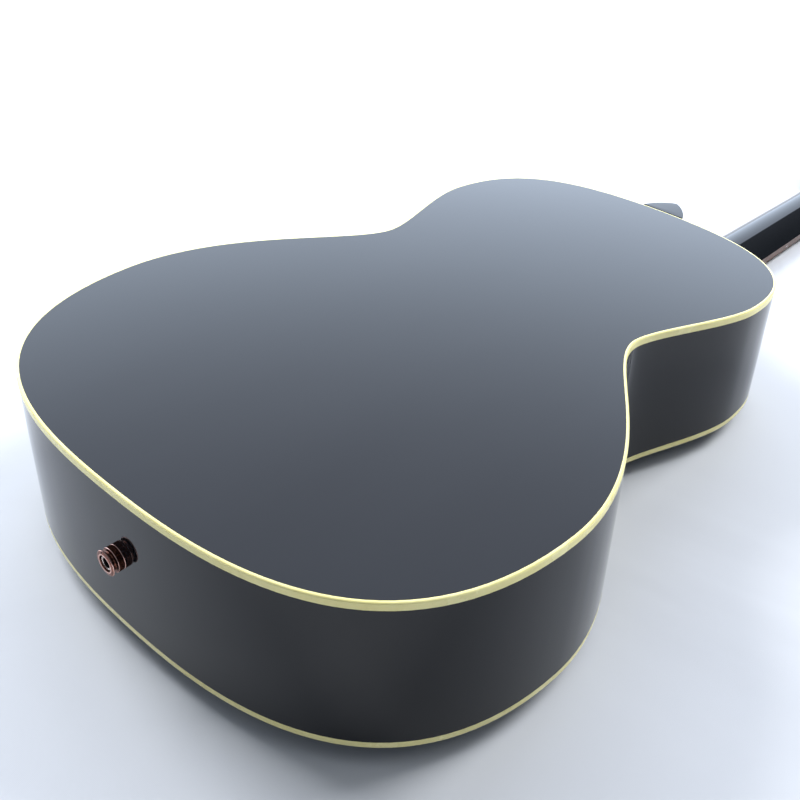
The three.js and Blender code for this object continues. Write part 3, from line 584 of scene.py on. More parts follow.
def make_linings():
    """Kerfed strips inside both edges: a thin continuous back with blocks on it."""
    inset, width, height, near = SIDE + GAP, 6.3, 12.7, PLATE + GAP
    block_half, toe, strip_width, places = 1.75, 2.5, 0.8, 342
    section = [(0, near), (width, near), (0, near + height), (width, near + toe)]
    sides = [[0, 1, 2, 3], [4, 7, 6, 5], [0, 4, 5, 1], [1, 5, 6, 2], [2, 6, 7, 3], [3, 7, 4, 0]]
    by_neck = lambda p, room=0: p[1] > NECK_BLOCK_Y and abs(p[0]) < NECK_BLOCK_HALF + room
    by_tail = lambda p: p[1] < TAIL_BLOCK_Y and abs(p[0]) < TAIL_BLOCK_HALF
    for name, side, sign in (("top_lining", 0, 1), ("back_lining", 1, -1)):
        shape = Shape()
        under = lambda p, off: (*p, side * dome(*p) + sign * off)
        line = outline(inset, 72)
        outer = resample(np.vstack([line, line[:1]]), places)[:-1]
        step = np.roll(outer, -1, 0) - np.roll(outer, 1, 0)
        step /= np.linalg.norm(step, axis=1)[:, None]
        inward = np.column_stack([-step[:, 1], step[:, 0]])
        for at, forward, inwards in zip(outer, step, inward):
            if by_neck(at) or by_tail(at):
                continue
            corners = []
            for edge, inside in (section[:2], section[2:]):
                for across, (deep, off) in ((-block_half, edge), (block_half, edge),
                                            (block_half, inside), (-block_half, inside)):
                    corners.append(under(at + forward * across + inwards * deep, off))
            shape.add(corners, sides)
        strip, strip_inner = outline(inset), outline(inset + strip_width)
        keep = [i for i, p in enumerate(strip) if not by_neck(p, 1)]
        split = next(k for k in range(len(keep) - 1) if keep[k + 1] != keep[k] + 1)
        shape.loft([[under(strip[i], near), under(strip_inner[i], near),
                     under(strip_inner[i], near + height), under(strip[i], near + height)]
                    for i in keep[split + 1:] + keep[:split + 1]])
        shape.build(name + "_kerfed", MAHOGANY, "mahogany", replaces=(name,))


# ---- Neck ----
def neck_profiles(half, high, count=48):
    """Three sections at this size: a rounded neck, a pointed heel and a flat slab."""
    t = np.linspace(0, np.pi, 181)
    c, s = np.cos(t), np.sin(t)
    size = np.array((half, high))
    start = 0.5
    arc = np.linspace(start, np.pi - start, 181)
    shallow = (-np.cos(arc) / math.cos(start), (np.sin(arc) - math.sin(start)) / (1 - math.sin(start)))
    pointed = (-np.sign(c) * np.abs(c) ** HEEL_POINT, s**HEEL_POINT)
    r = min(2.2, 0.45 * high, 0.9 * half)
    corner = lambda cx, cz, a: [(cx + r * math.cos(b), cz + r * math.sin(b))
                                for b in np.radians(np.linspace(a, a - 90, 9))]
    slab = [(-half, 0)] + corner(-half + r, high - r, 180) + corner(half - r, high - r, 90) + [(half, 0)]
    return [resample(points, count)
            for points in (np.column_stack(shallow) * size, np.column_stack(pointed) * size, slab)]


def make_neck():
    b = BODY_LENGTH + GAP
    # Each row: base y, z; tip y, z; half width; shares of the rounded, pointed and slab sections.
    rows = [
        (b, HEEL_TOP, b + HEEL_REACH, HEEL_TOP, HEEL_HALF, 0, 1, 0),
        (b, 77, b + 20.9, 81, 18.5, 0, 1, 0),
        (b, 64, b + 21.6, 74, 19.2, 0, 1, 0), (b, 48, b + 22.9, 63, 20.3, 0, 1, 0),
        (b, 32, b + 25.2, 51, 21.8, 0.05, 0.95, 0), (b, 18, b + 28.8, 41, 23.3, 0.15, 0.85, 0),
        (b, 7, b + 33.5, 33.5, 24.8, 0.3, 0.7, 0), (b + 1, 0, b + 39.5, 27.5, 26.0, 0.45, 0.55, 0),
        (b + 14, 0, b + 47, 23.0, 26.6, 0.62, 0.38, 0), (b + 32, 0, b + 57, 20.0, 26.5, 0.8, 0.2, 0),
        (b + 56, 0, b + 71, 18.2, 26.1, 0.93, 0.07, 0), (b + 88, 0, b + 93, 17.3, 25.6, 1, 0, 0),
    ]
    for y in np.linspace(b + 125, NUT_Y - 8, 8):
        high = np.interp(y, (BODY_LENGTH, NUT_Y), (17.5, 14.5))
        rows.append((y, 0, y, high, board_half(y), 1, 0, 0))
    rings = [ring_of(row) for row in along(*rows)(150)]
    # The headstock's rows: y along it, half width, how far the section is a slab, and thickness.
    full = HEAD_THICKNESS
    shoulder_y, shoulder_half, tip_count = 161, 37.9, 25
    head = [(0, 21.9, 0.04, 14.6), (5, 22.2, 0.25, 14.8), (9, 23.5, 0.55, full),
            (13, 26.6, 0.85, full), (17, 30.2, 1, full), (22, 33.0, 1, full), (30, 34.8, 1, full),
            (60, 35.6, 1, full), (95, 36.4, 1, full), (130, 37.2, 1, full), (155, 37.8, 1, full),
            (shoulder_y, shoulder_half, 1, full)]
    tip = np.linspace(0, 1, tip_count + 1)[1:]
    x = (1 - tip) ** 2 * shoulder_half + 2 * tip * (1 - tip) * 22
    y = (1 - tip) ** 2 * shoulder_y + 2 * tip * (1 - tip) * 181 + tip**2 * 180
    ends = np.column_stack([y, np.maximum(x, 0.3), np.ones(tip_count), np.full(tip_count, full)])
    for y, half, slab, high in np.vstack([along(*head)(70), ends]):
        start = HEAD @ Vector((0, y, 0))
        end = HEAD @ Vector((0, y, high))
        rings.append(ring_of((start.y, start.z, end.y, end.z, half, 1 - slab, 0, slab)))
    Shape().loft(rings).build(
        "neck_and_headstock", LACQUER, "black_lacquer", replaces=("neck",), sharp=40)

    t = np.linspace(0, np.pi, 61)
    arch = np.column_stack([HEEL_HALF * np.sign(np.cos(t)) * np.abs(np.cos(t)) ** HEEL_POINT,
                            b + HEEL_REACH * np.sin(t) ** HEEL_POINT])
    cap = Shape().prism(resample(arch, 60), HEEL_TOP + 0.02, HEEL_TOP + GAP + 2.5)
    cap.build("heel_cap_plate", LACQUER, "black_lacquer", replaces=("heel_cap",), bevel=0.7)


def ring_of(row):
    """One closed neck ring from base and tip points, a half width and the shares of the sections."""
    yb, zb, yt, zt, half, *shares = row
    high = math.hypot(yt - yb, zt - zb)
    shape = sum(share * made for share, made in zip(shares, neck_profiles(half, high)))
    lift = shape[:, 1:] / high
    path = np.column_stack([shape[:, 0], yb + (yt - yb) * lift, zb + (zt - zb) * lift])
    across = np.linspace(half, -half, 7)[1:-1]
    floor = np.column_stack([across, np.full(5, yb), np.full(5, zb)])
    return np.vstack([path, floor])


def make_fretboard():
    end = NUT_Y - fret_distance(FRET_COUNT) - 5.5
    crown = lambda x: -BOARD_THICKNESS - GAP + x * x / (2 * BOARD_RADIUS)

    def board_ring(y):
        half = board_half(y)
        x = np.linspace(half - 0.5, -half + 0.5, 15)
        played = [(v, y, crown(v)) for v in x]
        return [(-half, y, 0), (half, y, 0), (half, y, crown(half) + 0.5)] + played + [
            (-half, y, crown(half) + 0.5)]

    Shape().loft([board_ring(y) for y in np.linspace(end, NUT_Y + 0.2, 40)]).build(
        "fretboard_wood", ROSEWOOD, "rosewood", replaces=("fretboard",), sharp=25)

    frets = Shape()
    turn = np.linspace(0, np.pi, 9)
    crown_half, crown_height, tang_half, tang_depth, end_run = 1.1, 1.1, 0.3, 1.5, 0.6
    for n in range(1, FRET_COUNT + 1):
        y = NUT_Y - fret_distance(n)
        half = board_half(y) - 0.15
        rings = []
        for x in np.linspace(-half, half, 13):
            tuck = 0.75 * max(0.0, abs(x) - half + end_run) / end_run
            at_end = abs(x) > half - 0.01
            ring = [(x - math.copysign(0.8 * math.sin(a) * at_end, x), y - crown_half * math.cos(a),
                     crown(x) - (crown_height - tuck * 0.4) * math.sin(a) ** 0.8) for a in turn]
            foot = crown(x) + tang_depth
            rings.append(ring + [(x, y + tang_half, foot), (x, y - tang_half, foot)])
        frets.loft(rings)
    frets.build("frets", FRET_METAL, "nickel", sharp=50)

    dots = Shape()
    spots = [(n, 0.0) for n in (3, 5, 7, 9, 15, 17, 19)]
    spots += [(OCTAVE_FRET, -11.0), (OCTAVE_FRET, 11.0)]
    for n, x in spots:
        y = NUT_Y - (fret_distance(n) + fret_distance(n - 1)) / 2
        z = crown(x)
        place = lambda r, x=x, y=y, z=z: r * (1, 1, -1) + np.array((x, y, z))
        dots.lathe([(0.01, -1.2), (3.1, -1.2), (3.1, 0.02), (2.9, 0.05), (0.01, 0.06)], 28, 0, place)
        if x >= 0:
            half = board_half(y)
            place = lambda r, y=y, h=half: r[..., [2, 0, 1]] + np.array((h, y, -3.6))
            dots.lathe([(0.01, -1), (1.0, -1), (1.0, 0.03), (0.01, 0.04)], 16, 0, place)
    dots.build("position_dots", PEARL, "bone", sharp=50)


def make_nut():
    """Bone, with a rounded notch for each string and corners that fall away."""
    count, notch_depth, corner_run = 480, 0.7, 1.2
    x = np.linspace(-NUT_HALF, NUT_HALF, count)
    height = NUT_HEIGHT + GAP + 0.35
    z = np.full(count, height)
    for string in STRINGS:
        d = np.abs(x - nut_x(string))
        r = STRING_DIAMETERS[string - 1] / 2 + 0.12
        z = np.where(d < r, height - notch_depth + 0.3 * (d / r) ** 2, z)
    z = z - np.interp(np.abs(x), (NUT_HALF - corner_run, NUT_HALF), (0, 1)) ** 2 * 0.9
    y0 = NUT_Y + GAP
    rings = []
    for y, fall in ((y0, 0.5), (y0 + 0.35, 0.05), (y0 + 1.0, 0.0), (y0 + 2.6, 0.75),
                    (y0 + 3.9, 1.7), (y0 + 4.4, 2.3)):
        top = np.column_stack([x, np.full(count, y), -(z - fall)])
        rings.append(np.vstack([top, [(NUT_HALF, y, -GAP), (-NUT_HALF, y, -GAP)]]))
    Shape().loft(rings).build("nut_bone", BONE, "bone", replaces=("nut",), sharp=35)


def make_saddle():
    """Bone with a crowned, rounded top edge, slanted across the bridge."""
    half, foot, count = 36.0, -4.8, 90
    x = np.linspace(-half, half, count)
    crown = -SADDLE_STRING - GAP - 0.32 * (x / half) ** 2
    crown -= np.maximum(0, np.abs(x) - half + 2.5) ** 2 * 0.35
    rings = []
    for across, fall in ((-1.2, 1.1), (-1.05, 0.45), (-0.6, 0.1), (0, 0), (0.6, 0.1), (1.05, 0.45),
                         (1.2, 1.1)):
        top = np.column_stack([x, np.full(count, across), -(crown - fall)])
        rings.append(np.vstack([top, [(half, across, foot), (-half, across, foot)]]))
    turned = np.array(rings)
    c, s = math.cos(-SADDLE_SLANT), math.sin(-SADDLE_SLANT)
    turned = np.stack([turned[..., 0] * c - turned[..., 1] * s,
                       turned[..., 0] * s + turned[..., 1] * c + SADDLE_Y, turned[..., 2]], -1)
    Shape().loft(turned).build("saddle_bone", BONE, "bone", replaces=("saddle",), sharp=35)


# ---- Bridge ----
def make_bridge():
    """A belly bridge as a height field: thick in the middle with wings that sweep down to the ends."""
    columns, lines = 121, 31
    half, wing, end_radius, edge_radius = 76, 46, 4, 1.6
    x = np.linspace(-half, half, columns)
    belly = np.where(np.abs(x) < wing, 12 * np.cos(np.clip(x / wing, -1, 1) * np.pi / 2), 0)
    corner = np.maximum(0, np.abs(x) - half + end_radius) / end_radius
    inset = 2.5 * (1 - np.sqrt(np.clip(1 - corner**2, 0, 1)))
    low_y, high_y = 221 - belly + inset, 246.0 - inset
    sweep = np.clip((np.abs(x) - wing) / 16, 0, 1)
    high = BRIDGE_TOP - 5.0 * (1 - (1 - sweep) ** 2)
    v = np.linspace(0, 1, lines)
    v = 0.5 - 0.5 * np.cos(np.pi * v) * np.abs(np.cos(np.pi * v)) ** -0.25
    v = (v - v.min()) / (v.max() - v.min())
    top = np.zeros((lines, columns, 3))
    for i, share in enumerate(v):
        y = low_y + (high_y - low_y) * share
        edge = np.minimum(np.minimum(y - low_y, high_y - y), half + 0.4 - np.abs(x))
        inward = np.clip(edge / edge_radius, 0, 1)
        round_off = edge_radius * (1 - np.sqrt(np.clip(1 - (1 - inward) ** 2, 0, 1)))
        top[i] = np.column_stack([x, y, -(high - round_off)])
    foot = top.copy()
    foot[..., 2] = -0.02
    shape = Shape()
    shape.add(top, quads(lines, columns, close_columns=False))
    shape.add(foot, quads(lines, columns, close_columns=False))
    rim_of = lambda g: np.vstack([g[0], g[1:, -1], g[-1, -2::-1], g[-2:0:-1, 0]])
    shape.loft([rim_of(top), rim_of(foot)], caps=False)
    shape.build("bridge_wood", ROSEWOOD, "rosewood", replaces=("bridge",), sharp=40)

    seat = BRIDGE_TOP + 2 * GAP
    top = seat + PIN_HEAD_HEIGHT
    bone_part = [(0.01, -15.5), (1.7, -15.5), (2.1, -14.8), (2.4, seat - 0.6), (2.45, seat),
                 (2.9, seat + 0.2), (3.15, seat + 1.0), (3.38, seat + 1.9), (3.3, seat + 3.0),
                 (2.9, seat + 3.9), (2.2, top - 0.3), (1.35, top - 0.04)]
    black_dot = [(1.3, top - 0.04), (1.28, top - 0.10), (1.2, top - 0.02), (0.01, top)]
    kinds = [0] * len(bone_part) + [1] * (len(black_dot) - 1)
    for string in STRINGS:
        place = lambda r, x=bridge_x(string): r * (1, 1, -1) + np.array((x, PIN_Y, 0))
        pin = Shape().lathe(bone_part + black_dot, 28, kinds, place)
        pin.build(f"pin_{string}", [BONE, BLACK], "bone", replaces=(f"bridge_pin_{string}",), sharp=60)


def make_pickguard():
    inner = SOUNDHOLE_R + 7
    turn = np.radians(np.linspace(165, 262, 40))
    arc = np.column_stack([inner * np.cos(turn), SOUNDHOLE_Y + inner * np.sin(turn)])
    t = np.linspace(0, 1, 24)[1:]
    low, side = (-52, 262), (-98, 324)
    curves = ([arc[-1], (-14, 288), (-22, 264), low], [low, (-92, 260), (-104, 288), side],
              [side, (-92, 356), (-76, 390), arc[0]])
    line = np.vstack([arc] + [bezier(curve, t)[0] for curve in curves])[:-1]
    Shape().prism(line, -1.25, -0.02).build(
        "pickguard_shell", TORTOISE, "tortoiseshell", replaces=("pickguard",), bevel=0.5)


# ---- Jack ----
def out_of_tail(rings):
    """Turns z of a lathe to point out of the tail."""
    return np.stack([rings[..., 0], -rings[..., 2], rings[..., 1] + JACK_Z], -1)


def make_jack():
    # Kinds of band: dark takes the piece's own metal, edge a bright copy of it as painted highlights on
    # the rims, black the black plastic.
    dark, edge, black = range(3)
    ring = Shape()
    turned = [(5.0, 0.05, dark), (7.3, 0.05, edge), (7.55, 0.3, edge), (7.35, 0.55, dark),
              (7.2, 0.7, dark), (7.2, 3.7, dark), (7.35, 3.85, edge), (7.55, 4.1, edge),
              (7.45, 4.4, dark), (5.75, 4.75, dark), (5.6, 5.0, dark), (5.6, 6.3, dark),
              (5.9, 6.75, dark), (7.5, 6.95, edge), (7.75, 7.2, edge), (7.8, 7.6, edge),
              (7.6, 7.95, dark), (7.3, 8.1, dark), (5.9, 8.26, edge), (5.1, 8.26, dark),
              (4.95, 8.1, dark), (4.95, 5.0, dark)]
    ring.lathe([row[:2] for row in turned], 96, [row[2] for row in turned], out_of_tail, closed=True)
    teeth, root, crest = 64, 7.15, 7.5
    for i in range(teeth):
        a0, a1 = (2 * math.pi * (i + k) / teeth for k in (0.15, 0.85))
        corners = [(radius * math.cos(turn), radius * math.sin(turn), z) for z in (0.75, 3.65)
                   for radius, turn in ((root, a0), (crest, (a0 + a1) / 2), (root, a1))]
        ring.add(out_of_tail(np.array(corners)), [[0, 1, 4, 3], [1, 2, 5, 4], [2, 0, 3, 5],
                                                  [0, 2, 1], [3, 4, 5]], dark)
    # The flanges' rims take the bright copper: painted highlights.
    ring.build("strap_button", [DARK_COPPER, COPPER_HIGHLIGHT], "antique_copper", replaces=("strap_ring",))

    barrel = Shape()
    bore, inner_end, thread, pitch = 3.2, -40, (4.6, 4.35), 0.8
    turned = [(bore, 7.3, black), (bore, inner_end, dark), (6, inner_end, dark), (6, 0, dark)]
    for i in range(8):
        turned += [(thread[0], 0.2 + i * pitch, dark), (thread[1], 0.6 + i * pitch, dark)]
    # The mouth's rim takes the pale rim copy of the nickel: a painted highlight ring round the hole.
    turned += [(thread[0], 6.9, black), (thread[1], 7.3, edge), (4.1, 7.55, edge), (3.5, 7.55, edge)]
    barrel.lathe([row[:2] for row in turned], 48, [row[2] for row in turned], out_of_tail, closed=True)
    barrel.build("jack_barrel", [NICKEL, NICKEL_HIGHLIGHT_RIM, BLACK], "nickel", replaces=("endpin_jack",))


# ---- Tuning machines, in the headstock's frame ----
TUNERS = [(s, 1 if s > 3 else -1, 6 - s if s > 3 else s - 1) for s in STRINGS]
PLATE_BACK = HEAD_THICKNESS + GAP + 1.1


def make_machines(side, name):
    """One side's plate with its gear covers, shaft collars and screws."""
    y0, y1, corner_r = TUNER_ROWS[0] - 14, TUNER_ROWS[2] + 18, 5
    line = []
    for cx, cy, start in ((29, y1 - corner_r, 0), (21, y1 - corner_r, 90), (21, y0 + corner_r, 180),
                          (29, y0 + corner_r, 270)):
        line += [(side * (cx + corner_r * math.cos(a)), cy + corner_r * math.sin(a))
                 for a in np.radians(np.linspace(start, start + 90, 8))]
    Shape().prism(line, HEAD_THICKNESS, PLATE_BACK).build(
        f"machine_plate_{name}", NICKEL, "nickel", replaces=(f"tuner_plate_{name}",),
        frame=HEAD_TO_ROW, bevel=0.35)

    for row, (x, y) in enumerate(zip(TUNER_X, TUNER_ROWS)):
        cx = side * x
        low, high = y - 7, y + WORM_OFFSET + 5
        cover = Shape().prism([(cx - 7, low), (cx + 7, low), (cx + 7, high), (cx - 7, high)],
                              PLATE_BACK - 0.2, PLATE_BACK + 8.9)
        cover.build(f"gear_cover_{name}_{row + 1}", NICKEL, "nickel", frame=HEAD_TO_ROW, bevel=2.2,
                    segments=5)
        place = lambda r, c=cx, y=y: np.stack([c + side * r[..., 2], y + WORM_OFFSET + r[..., 0],
                                               WORM_Z + r[..., 1]], -1)
        collar = [(2.6, 6.5), (3.9, 6.5), (3.9, 7.6), (3.5, 8.0), (2.6, 8.0)]
        Shape().lathe(collar, 28, 0, place, closed=True).build(
            f"shaft_collar_{name}_{row + 1}", NICKEL, "nickel", frame=HEAD_TO_ROW)

    screws = Shape()
    between = [(low + high) / 2 + 4 for low, high in zip(TUNER_ROWS, TUNER_ROWS[1:])]
    for y in (y0 + 4.5, *between, y1 - 4.5):
        screw(screws, side * 25, y, PLATE_BACK, 1, 2.4)
    screws.build(f"machine_screws_{name}", [STEEL, BLACK], "steel", frame=HEAD_TO_ROW, sharp=50)


def make_post(string, x, y):
    """A bushing in the face, and the post that turns in it with its wheel, with dark discs of painted
    shade for its string hole.
    """
    shift = np.array((x, y, 0))
    moved = lambda r: r + shift
    bushing = [(POST_R + 0.25, 0.6), (4.9, 0.6), (4.9, -0.5), (4.6, -0.9), (3.9, -1.3),
               (POST_R + 0.25, -1.3)]
    Shape().lathe(bushing, 36, 0, moved, closed=True).build(
        f"bushing_{string}", NICKEL, "nickel", frame=HEAD_TO_ROW, sharp=40)

    post = Shape()
    post.lathe([(0.01, -15), (1.9, -15), (2.5, -14.8), (2.95, -14.2), (POST_R, -13.4),
                (POST_R, -10.6), (2.8, -10.0), (2.72, -9.0), (2.72, -6.0), (2.8, -4.9),
                (POST_R, -4.2), (POST_R, WHEEL_TOP), (0.01, WHEEL_TOP)], 36, 0, moved)
    # The string hole's mouths, dark discs just proud of the post's waist: painted shade standing for the
    # hole, which is not cut.
    hole_r, hole_z = 0.75, -8.9
    for turn in (0, math.pi):
        c, s = math.cos(turn), math.sin(turn)
        place = lambda r, c=c, s=s: np.stack([x + c * (2.74 + r[..., 2]) - s * r[..., 0],
                                              y + s * (2.74 + r[..., 2]) + c * r[..., 0],
                                              hole_z + r[..., 1]], -1)
        post.lathe([(0.01, -1), (hole_r, -1), (hole_r, 0.03), (0.01, 0.03)], 16, 1, place)
    wheel = []
    for i in range(TEETH * 8):
        a = 2 * math.pi * i / (TEETH * 8)
        r = 4.72 + 0.27 * math.tanh(2.2 * math.cos(TEETH * a))
        wheel.append((x + r * math.cos(a), y + r * math.sin(a)))
    post.prism(wheel, WHEEL_TOP - 3, WHEEL_TOP)
    post.build(f"post_{string}_turned", [NICKEL, BLACK], "nickel", f"post_{string}",
               (f"tuner_post_{string}",), HEAD_TO_ROW, sharp=40)


def make_tuners():
    for side, name in ((1, "bass"), (-1, "treble")):
        make_machines(side, name)
    for string, side, row in TUNERS:
        x, y = side * TUNER_X[row], TUNER_ROWS[row]
        make_post(string, x, y)
        make_button(string, side, x, y + WORM_OFFSET)


def screw(shape, x, y, z, up, radius):
    """A domed screw head, its slot a black bar of painted shade."""
    place = lambda r: np.stack([x + r[..., 0], y + r[..., 1], z + up * r[..., 2]], -1)
    shape.lathe([(0.01, -0.3), (radius, -0.3), (radius, 0.15), (radius * 0.8, 0.5),
                 (radius * 0.4, 0.68), (0.01, 0.72)], 24, 0, place)
    # The slot is not cut: a black bar just proud of the dome stands for its hollow, painted shade.
    half, width, turn = radius * 0.8, 0.22, 0.35
    slot = np.array([(-half, -width), (half, -width), (half, width), (-half, width)])
    slot = slot @ np.array(((math.cos(turn), math.sin(turn)), (-math.sin(turn), math.cos(turn))))
    shape.loft(place(np.array([level(slot, z) for z in (0.2, 0.745)])), 1)


def make_button(string, side, x, y):
    """A worm shaft with a plastic button shaped like a bean, pinched where the fingers hold it."""
    place = lambda r: np.stack([x + side * r[..., 2], y + side * r[..., 0], WORM_Z + r[..., 1]], -1)
    worm_half, pitch = 5, 2.2
    worm = [(2.1 + 0.28 * math.cos(2 * math.pi * z / pitch), z)
            for z in np.linspace(-worm_half, worm_half, 61)]
    stem = [(2.0, 5.1), (2.0, 9.4), (2.9, 9.6), (3.0, 10.2), (2.4, 11.0), (2.2, 13.0), (2.6, 15.2),
            (3.2, 15.9), (3.2, 17.0), (0.01, 17.0)]
    Shape().lathe([(0.01, -worm_half)] + worm + stem, 28, 0, place).build(
        f"shaft_{string}", NICKEL, "nickel", f"button_{string}", frame=HEAD_TO_ROW, sharp=45)

    centre = 25.2
    around = np.linspace(0, 2 * np.pi, 56, endpoint=False)
    c, s = np.cos(around), np.sin(around)
    half_wide = 9.5 * np.sign(c) * np.abs(c) ** 0.86
    tall = centre + 8.7 * np.sign(s) * np.abs(s) ** 0.9 - 0.5 * np.cos(2 * around) * (s > 0)
    rings = []
    for share in np.linspace(-1, 1, 23):
        a = share * math.pi / 2
        thick = 3.05 * math.sin(a)
        spread = max(math.cos(a), 1e-3) ** 0.42
        pinch = 1 - 0.30 * np.exp(-((half_wide * spread) ** 2 + ((tall - 26) * spread) ** 2) / 22)
        rings.append(np.column_stack([half_wide * spread, thick * pinch,
                                      centre + (tall - centre) * spread]))
    Shape().loft(place(np.array(rings))).build(
        f"button_{string}_grip", IVORY, "button_plastic", f"button_{string}",
        (f"tuner_button_{string}",), HEAD_TO_ROW, sharp=60)


def make_truss_cover():
    line = [tuple(p) for p in along((9, 2), (9.6, 6), (10.8, 13), (10.0, 22), (6.5, 30), (0, 38))(30)]
    line += [(-x, y) for x, y in line[-2::-1]]
    face = -1.9
    Shape().prism(line, face, -1.1).build(
        "rod_cover_face", BLACK, "black_lacquer", replaces=("truss_rod_cover",), frame=HEAD_TO_ROW,
        bevel=0.2)
    Shape().prism(line, -1.09, -0.05).build("rod_cover_ply", CREAM, "cream_binding", frame=HEAD_TO_ROW)
    screws = Shape()
    for x, y in ((-6.4, 7.5), (6.4, 7.5), (0, 32.5)):
        screw(screws, x, y, face, -1, 1.3)
    screws.build("rod_cover_screws", [STEEL, BLACK], "steel", frame=HEAD_TO_ROW, sharp=50)


# ---- Strings ----
WOUND = {s: wound(f"bronze_wound_{s}", (0.16, 0.070, 0.034), (0.62, 0.33, 0.17), pitch)
         for s, pitch in ((3, 0.28), (4, 0.36), (5, 0.46), (6, 0.56))}


def make_strings():
    coils, coil_top = 3, -5.4
    for string, side, row in TUNERS:
        r = STRING_DIAMETERS[string - 1] / 2
        x, y = side * TUNER_X[row], TUNER_ROWS[row]
        bx = bridge_x(string)
        saddle_y = SADDLE_Y - bx * math.tan(SADDLE_SLANT)
        rise = PIN_Y + 4.4
        reach = POST_R + r - 0.05
        pitch = 2 * r + 0.02
        # In the headstock's frame the string meets its post, then winds towards the face.
        wind = []
        for a in np.linspace(0, 2 * np.pi * coils, 34 * coils):
            turn = (math.pi if side > 0 else 0) - side * a
            z = coil_top - pitch * coils + pitch * a / (2 * math.pi)
            wind.append((x + reach * math.cos(turn), y + reach * math.sin(turn), z))
        contact = HEAD @ Vector(wind[0])
        front = [(bx, rise, 8.0), (bx, rise, -BRIDGE_TOP - 0.2),
                 (bx, rise + 0.5, -BRIDGE_TOP - 0.9 - r)]
        peak = SADDLE_STRING - r
        over = [(bx, saddle_y - 1.4, peak + 0.4), (bx, saddle_y, peak),
                (bx, saddle_y + 1.6, peak + 0.01)]
        nut_at = Vector((nut_x(string), NUT_Y + 1.0, NUT_STRING - r))
        span = Vector(over[-1])
        free = [tuple(span.lerp(nut_at, k)) for k in np.linspace(0.02, 0.995, 24)]
        behind = [tuple(nut_at.lerp(contact, k)) for k in (0.0, 0.012, 0.03, 0.3, 0.6, 0.9)]
        path = front + over + free + behind + [tuple(HEAD @ Vector(p)) for p in wind]
        material, slot = (WOUND[string], "bronze") if string in WOUND else (STEEL, "steel")
        Shape().tube(path, r, 10).build(
            f"string_{string}_wire", material, slot, replaces=(f"string_{string}",), sharp=60)


def dress_cad_nodes():
    """The CAD's own inner pieces keep their shape and get the right timber or metal."""
    looks = {SPRUCE: ["x_brace_bass", "x_brace_treble", "upper_transverse_brace", "tone_bar_upper",
                      "tone_bar_lower", "bridge_plate", *(f"back_brace_{n}" for n in range(1, 5))],
             MAHOGANY: ["neck_block", "tail_block"],
             NICKEL: ["jack_nut", "truss_rod_nut"], STEEL: ["truss_rod"]}
    for material, names in looks.items():
        for name in names:
            mesh = frame["nodes"][name].data
            mesh.materials.clear()
            mesh.materials.append(material)


# ---- Stage ----
def make_floor():
    """Cloth, with its vertices closer together near the guitar."""
    count, half = 90, 5.0
    side = np.linspace(-1, 1, count) ** 3 * half
    gx, gy = np.meshgrid(side, side, indexing="ij")
    mesh = bpy.data.meshes.new("floor")
    mesh.from_pydata(level(np.column_stack([gx.ravel(), gy.ravel()]), 0).tolist(), [],
                     quads(count, count, close_columns=False))
    mesh.materials.append(cloth())
    mesh.polygons.foreach_set("use_smooth", [True] * len(mesh.polygons))
    piece = put("floor", mesh)
    piece.location.z = -0.0004


# The room, as ramps over how far a direction leans towards an axis.
WALL_SIDE = (-0.68, 0.73, 0)
WALL_TOP = [(0.36, (0, 0, 0)), (0.46, (1, 1, 1))]
WALL_END = [(0.07, (0, 0, 0)), (0.10, (1, 1, 1))]
BRIGHT_WALL = [(0.0, (2.45, 2.85, 3.45)), (0.34, (2.45, 2.85, 3.45)), (0.74, (1.85, 2.06, 2.50)),
               (1.0, (1.20, 1.32, 1.60))]
DIM_ROOM = [(0.0, (0.10, 0.12, 0.15)), (1.0, (0.30, 0.34, 0.40))]
# Name, place and aim in metres, width in metres and power in watts.
LAMPS = [("back", (0.85, 2.2, 2.3), (0.0, 0.3, 0.0), 1.4, 120.0),
         ("left", (-2.3, -0.45, 2.0), (0.0, 0.2, 0.0), 1.4, 105.0),
         ("overhead", (0.9, 0.3, 2.5), (0.0, 0.2, 0.0), 2.5, 12.0)]
LAMP_COLOR = (0.94, 0.97, 1.0)


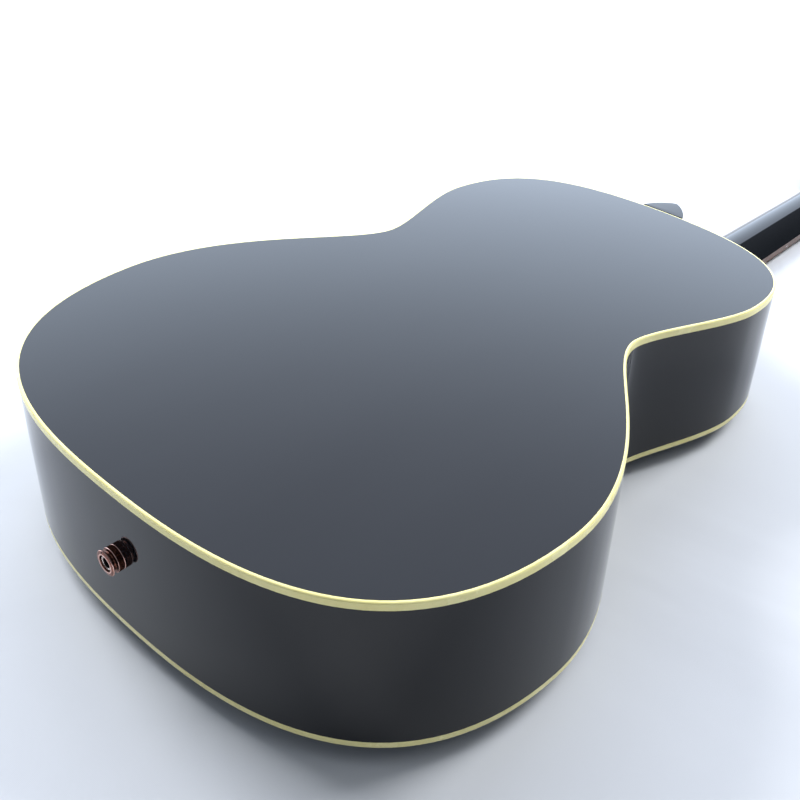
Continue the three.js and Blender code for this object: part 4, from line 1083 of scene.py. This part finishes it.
def make_room():
    """A bright wall on the far side of a dim room, which ends straight along +y."""
    world = bpy.data.worlds.new("studio")
    bpy.context.scene.world = world
    world.use_nodes = True
    tree = world.node_tree
    direction = tree.nodes.new("ShaderNodeTexCoord").outputs["Generated"]

    def ramp(axis, stops):
        """Colours by how far the direction leans towards an axis."""
        lean = tree.nodes.new("ShaderNodeVectorMath")
        lean.operation = "DOT_PRODUCT"
        lean.inputs[1].default_value = axis
        tree.links.new(direction, lean.inputs[0])
        made = tree.nodes.new("ShaderNodeValToRGB")
        made.color_ramp.interpolation = "EASE"
        set_stops(made, stops)
        tree.links.new(lean.outputs["Value"], made.inputs["Fac"])
        return made.outputs["Color"]

    def mix(factor, a, b):
        made = tree.nodes.new("ShaderNodeMix")
        made.data_type = "RGBA"
        for socket, source in zip((made.inputs[0], made.inputs[6], made.inputs[7]), (factor, a, b)):
            if isinstance(source, tuple):
                socket.default_value = source
            else:
                tree.links.new(source, socket)
        return made.outputs[2]

    up = (0, 0, 1)
    lit = mix(ramp(WALL_SIDE, WALL_TOP), (0, 0, 0, 1), ramp((-1, 0, 0), WALL_END))
    shown = mix(lit, ramp(up, DIM_ROOM), ramp(up, BRIGHT_WALL))
    tree.links.new(shown, tree.nodes["Background"].inputs["Color"])


def make_lamps():
    for name, at, aim, size, power in LAMPS:
        data = bpy.data.lights.new(name, "AREA")
        data.shape, data.size, data.energy, data.color = "DISK", size, power, LAMP_COLOR
        lamp = put(name, data)
        lamp.location = at
        lamp.rotation_mode = "QUATERNION"
        lamp.rotation_quaternion = (Vector(aim) - Vector(at)).to_track_quat("-Z", "Y")
        lamp.visible_glossy = False


def make_camera():
    """The camera, from the point it looks at in the guitar's frame, its distance, angles and roll."""
    target, distance = Vector((-2.73, 219.44, 50)), 719.8
    elevation, azimuth, roll = 0.61209, -0.82134, 0.03119
    back = Vector((math.cos(elevation) * math.cos(azimuth), math.cos(elevation) * math.sin(azimuth),
                   math.sin(elevation)))
    right = (-back).cross(Vector((0, 0, 1))).normalized()
    up = right.cross(-back)
    c, s = math.cos(roll), math.sin(roll)
    turn = Matrix((right * c + up * s, up * c - right * s, back)).transposed()
    data = bpy.data.cameras.new("camera")
    data.lens, data.sensor_width = 49.26, 36
    data.clip_start, data.clip_end = 0.01, 60
    camera = put("camera", data)
    place = Matrix.Translation(TO_ROW @ (target + distance * back))
    camera.matrix_world = place @ (Matrix.Rotation(TILT, 3, "X") @ turn).to_4x4()
    bpy.context.scene.camera = camera


make_camera()
make_body()
make_linings()
make_neck()
make_fretboard()
make_nut()
make_saddle()
make_bridge()
make_pickguard()
make_jack()
make_tuners()
make_truss_cover()
make_strings()
dress_cad_nodes()
make_floor()
make_room()
make_lamps()
bpy.context.scene.view_settings.view_transform = "Standard"
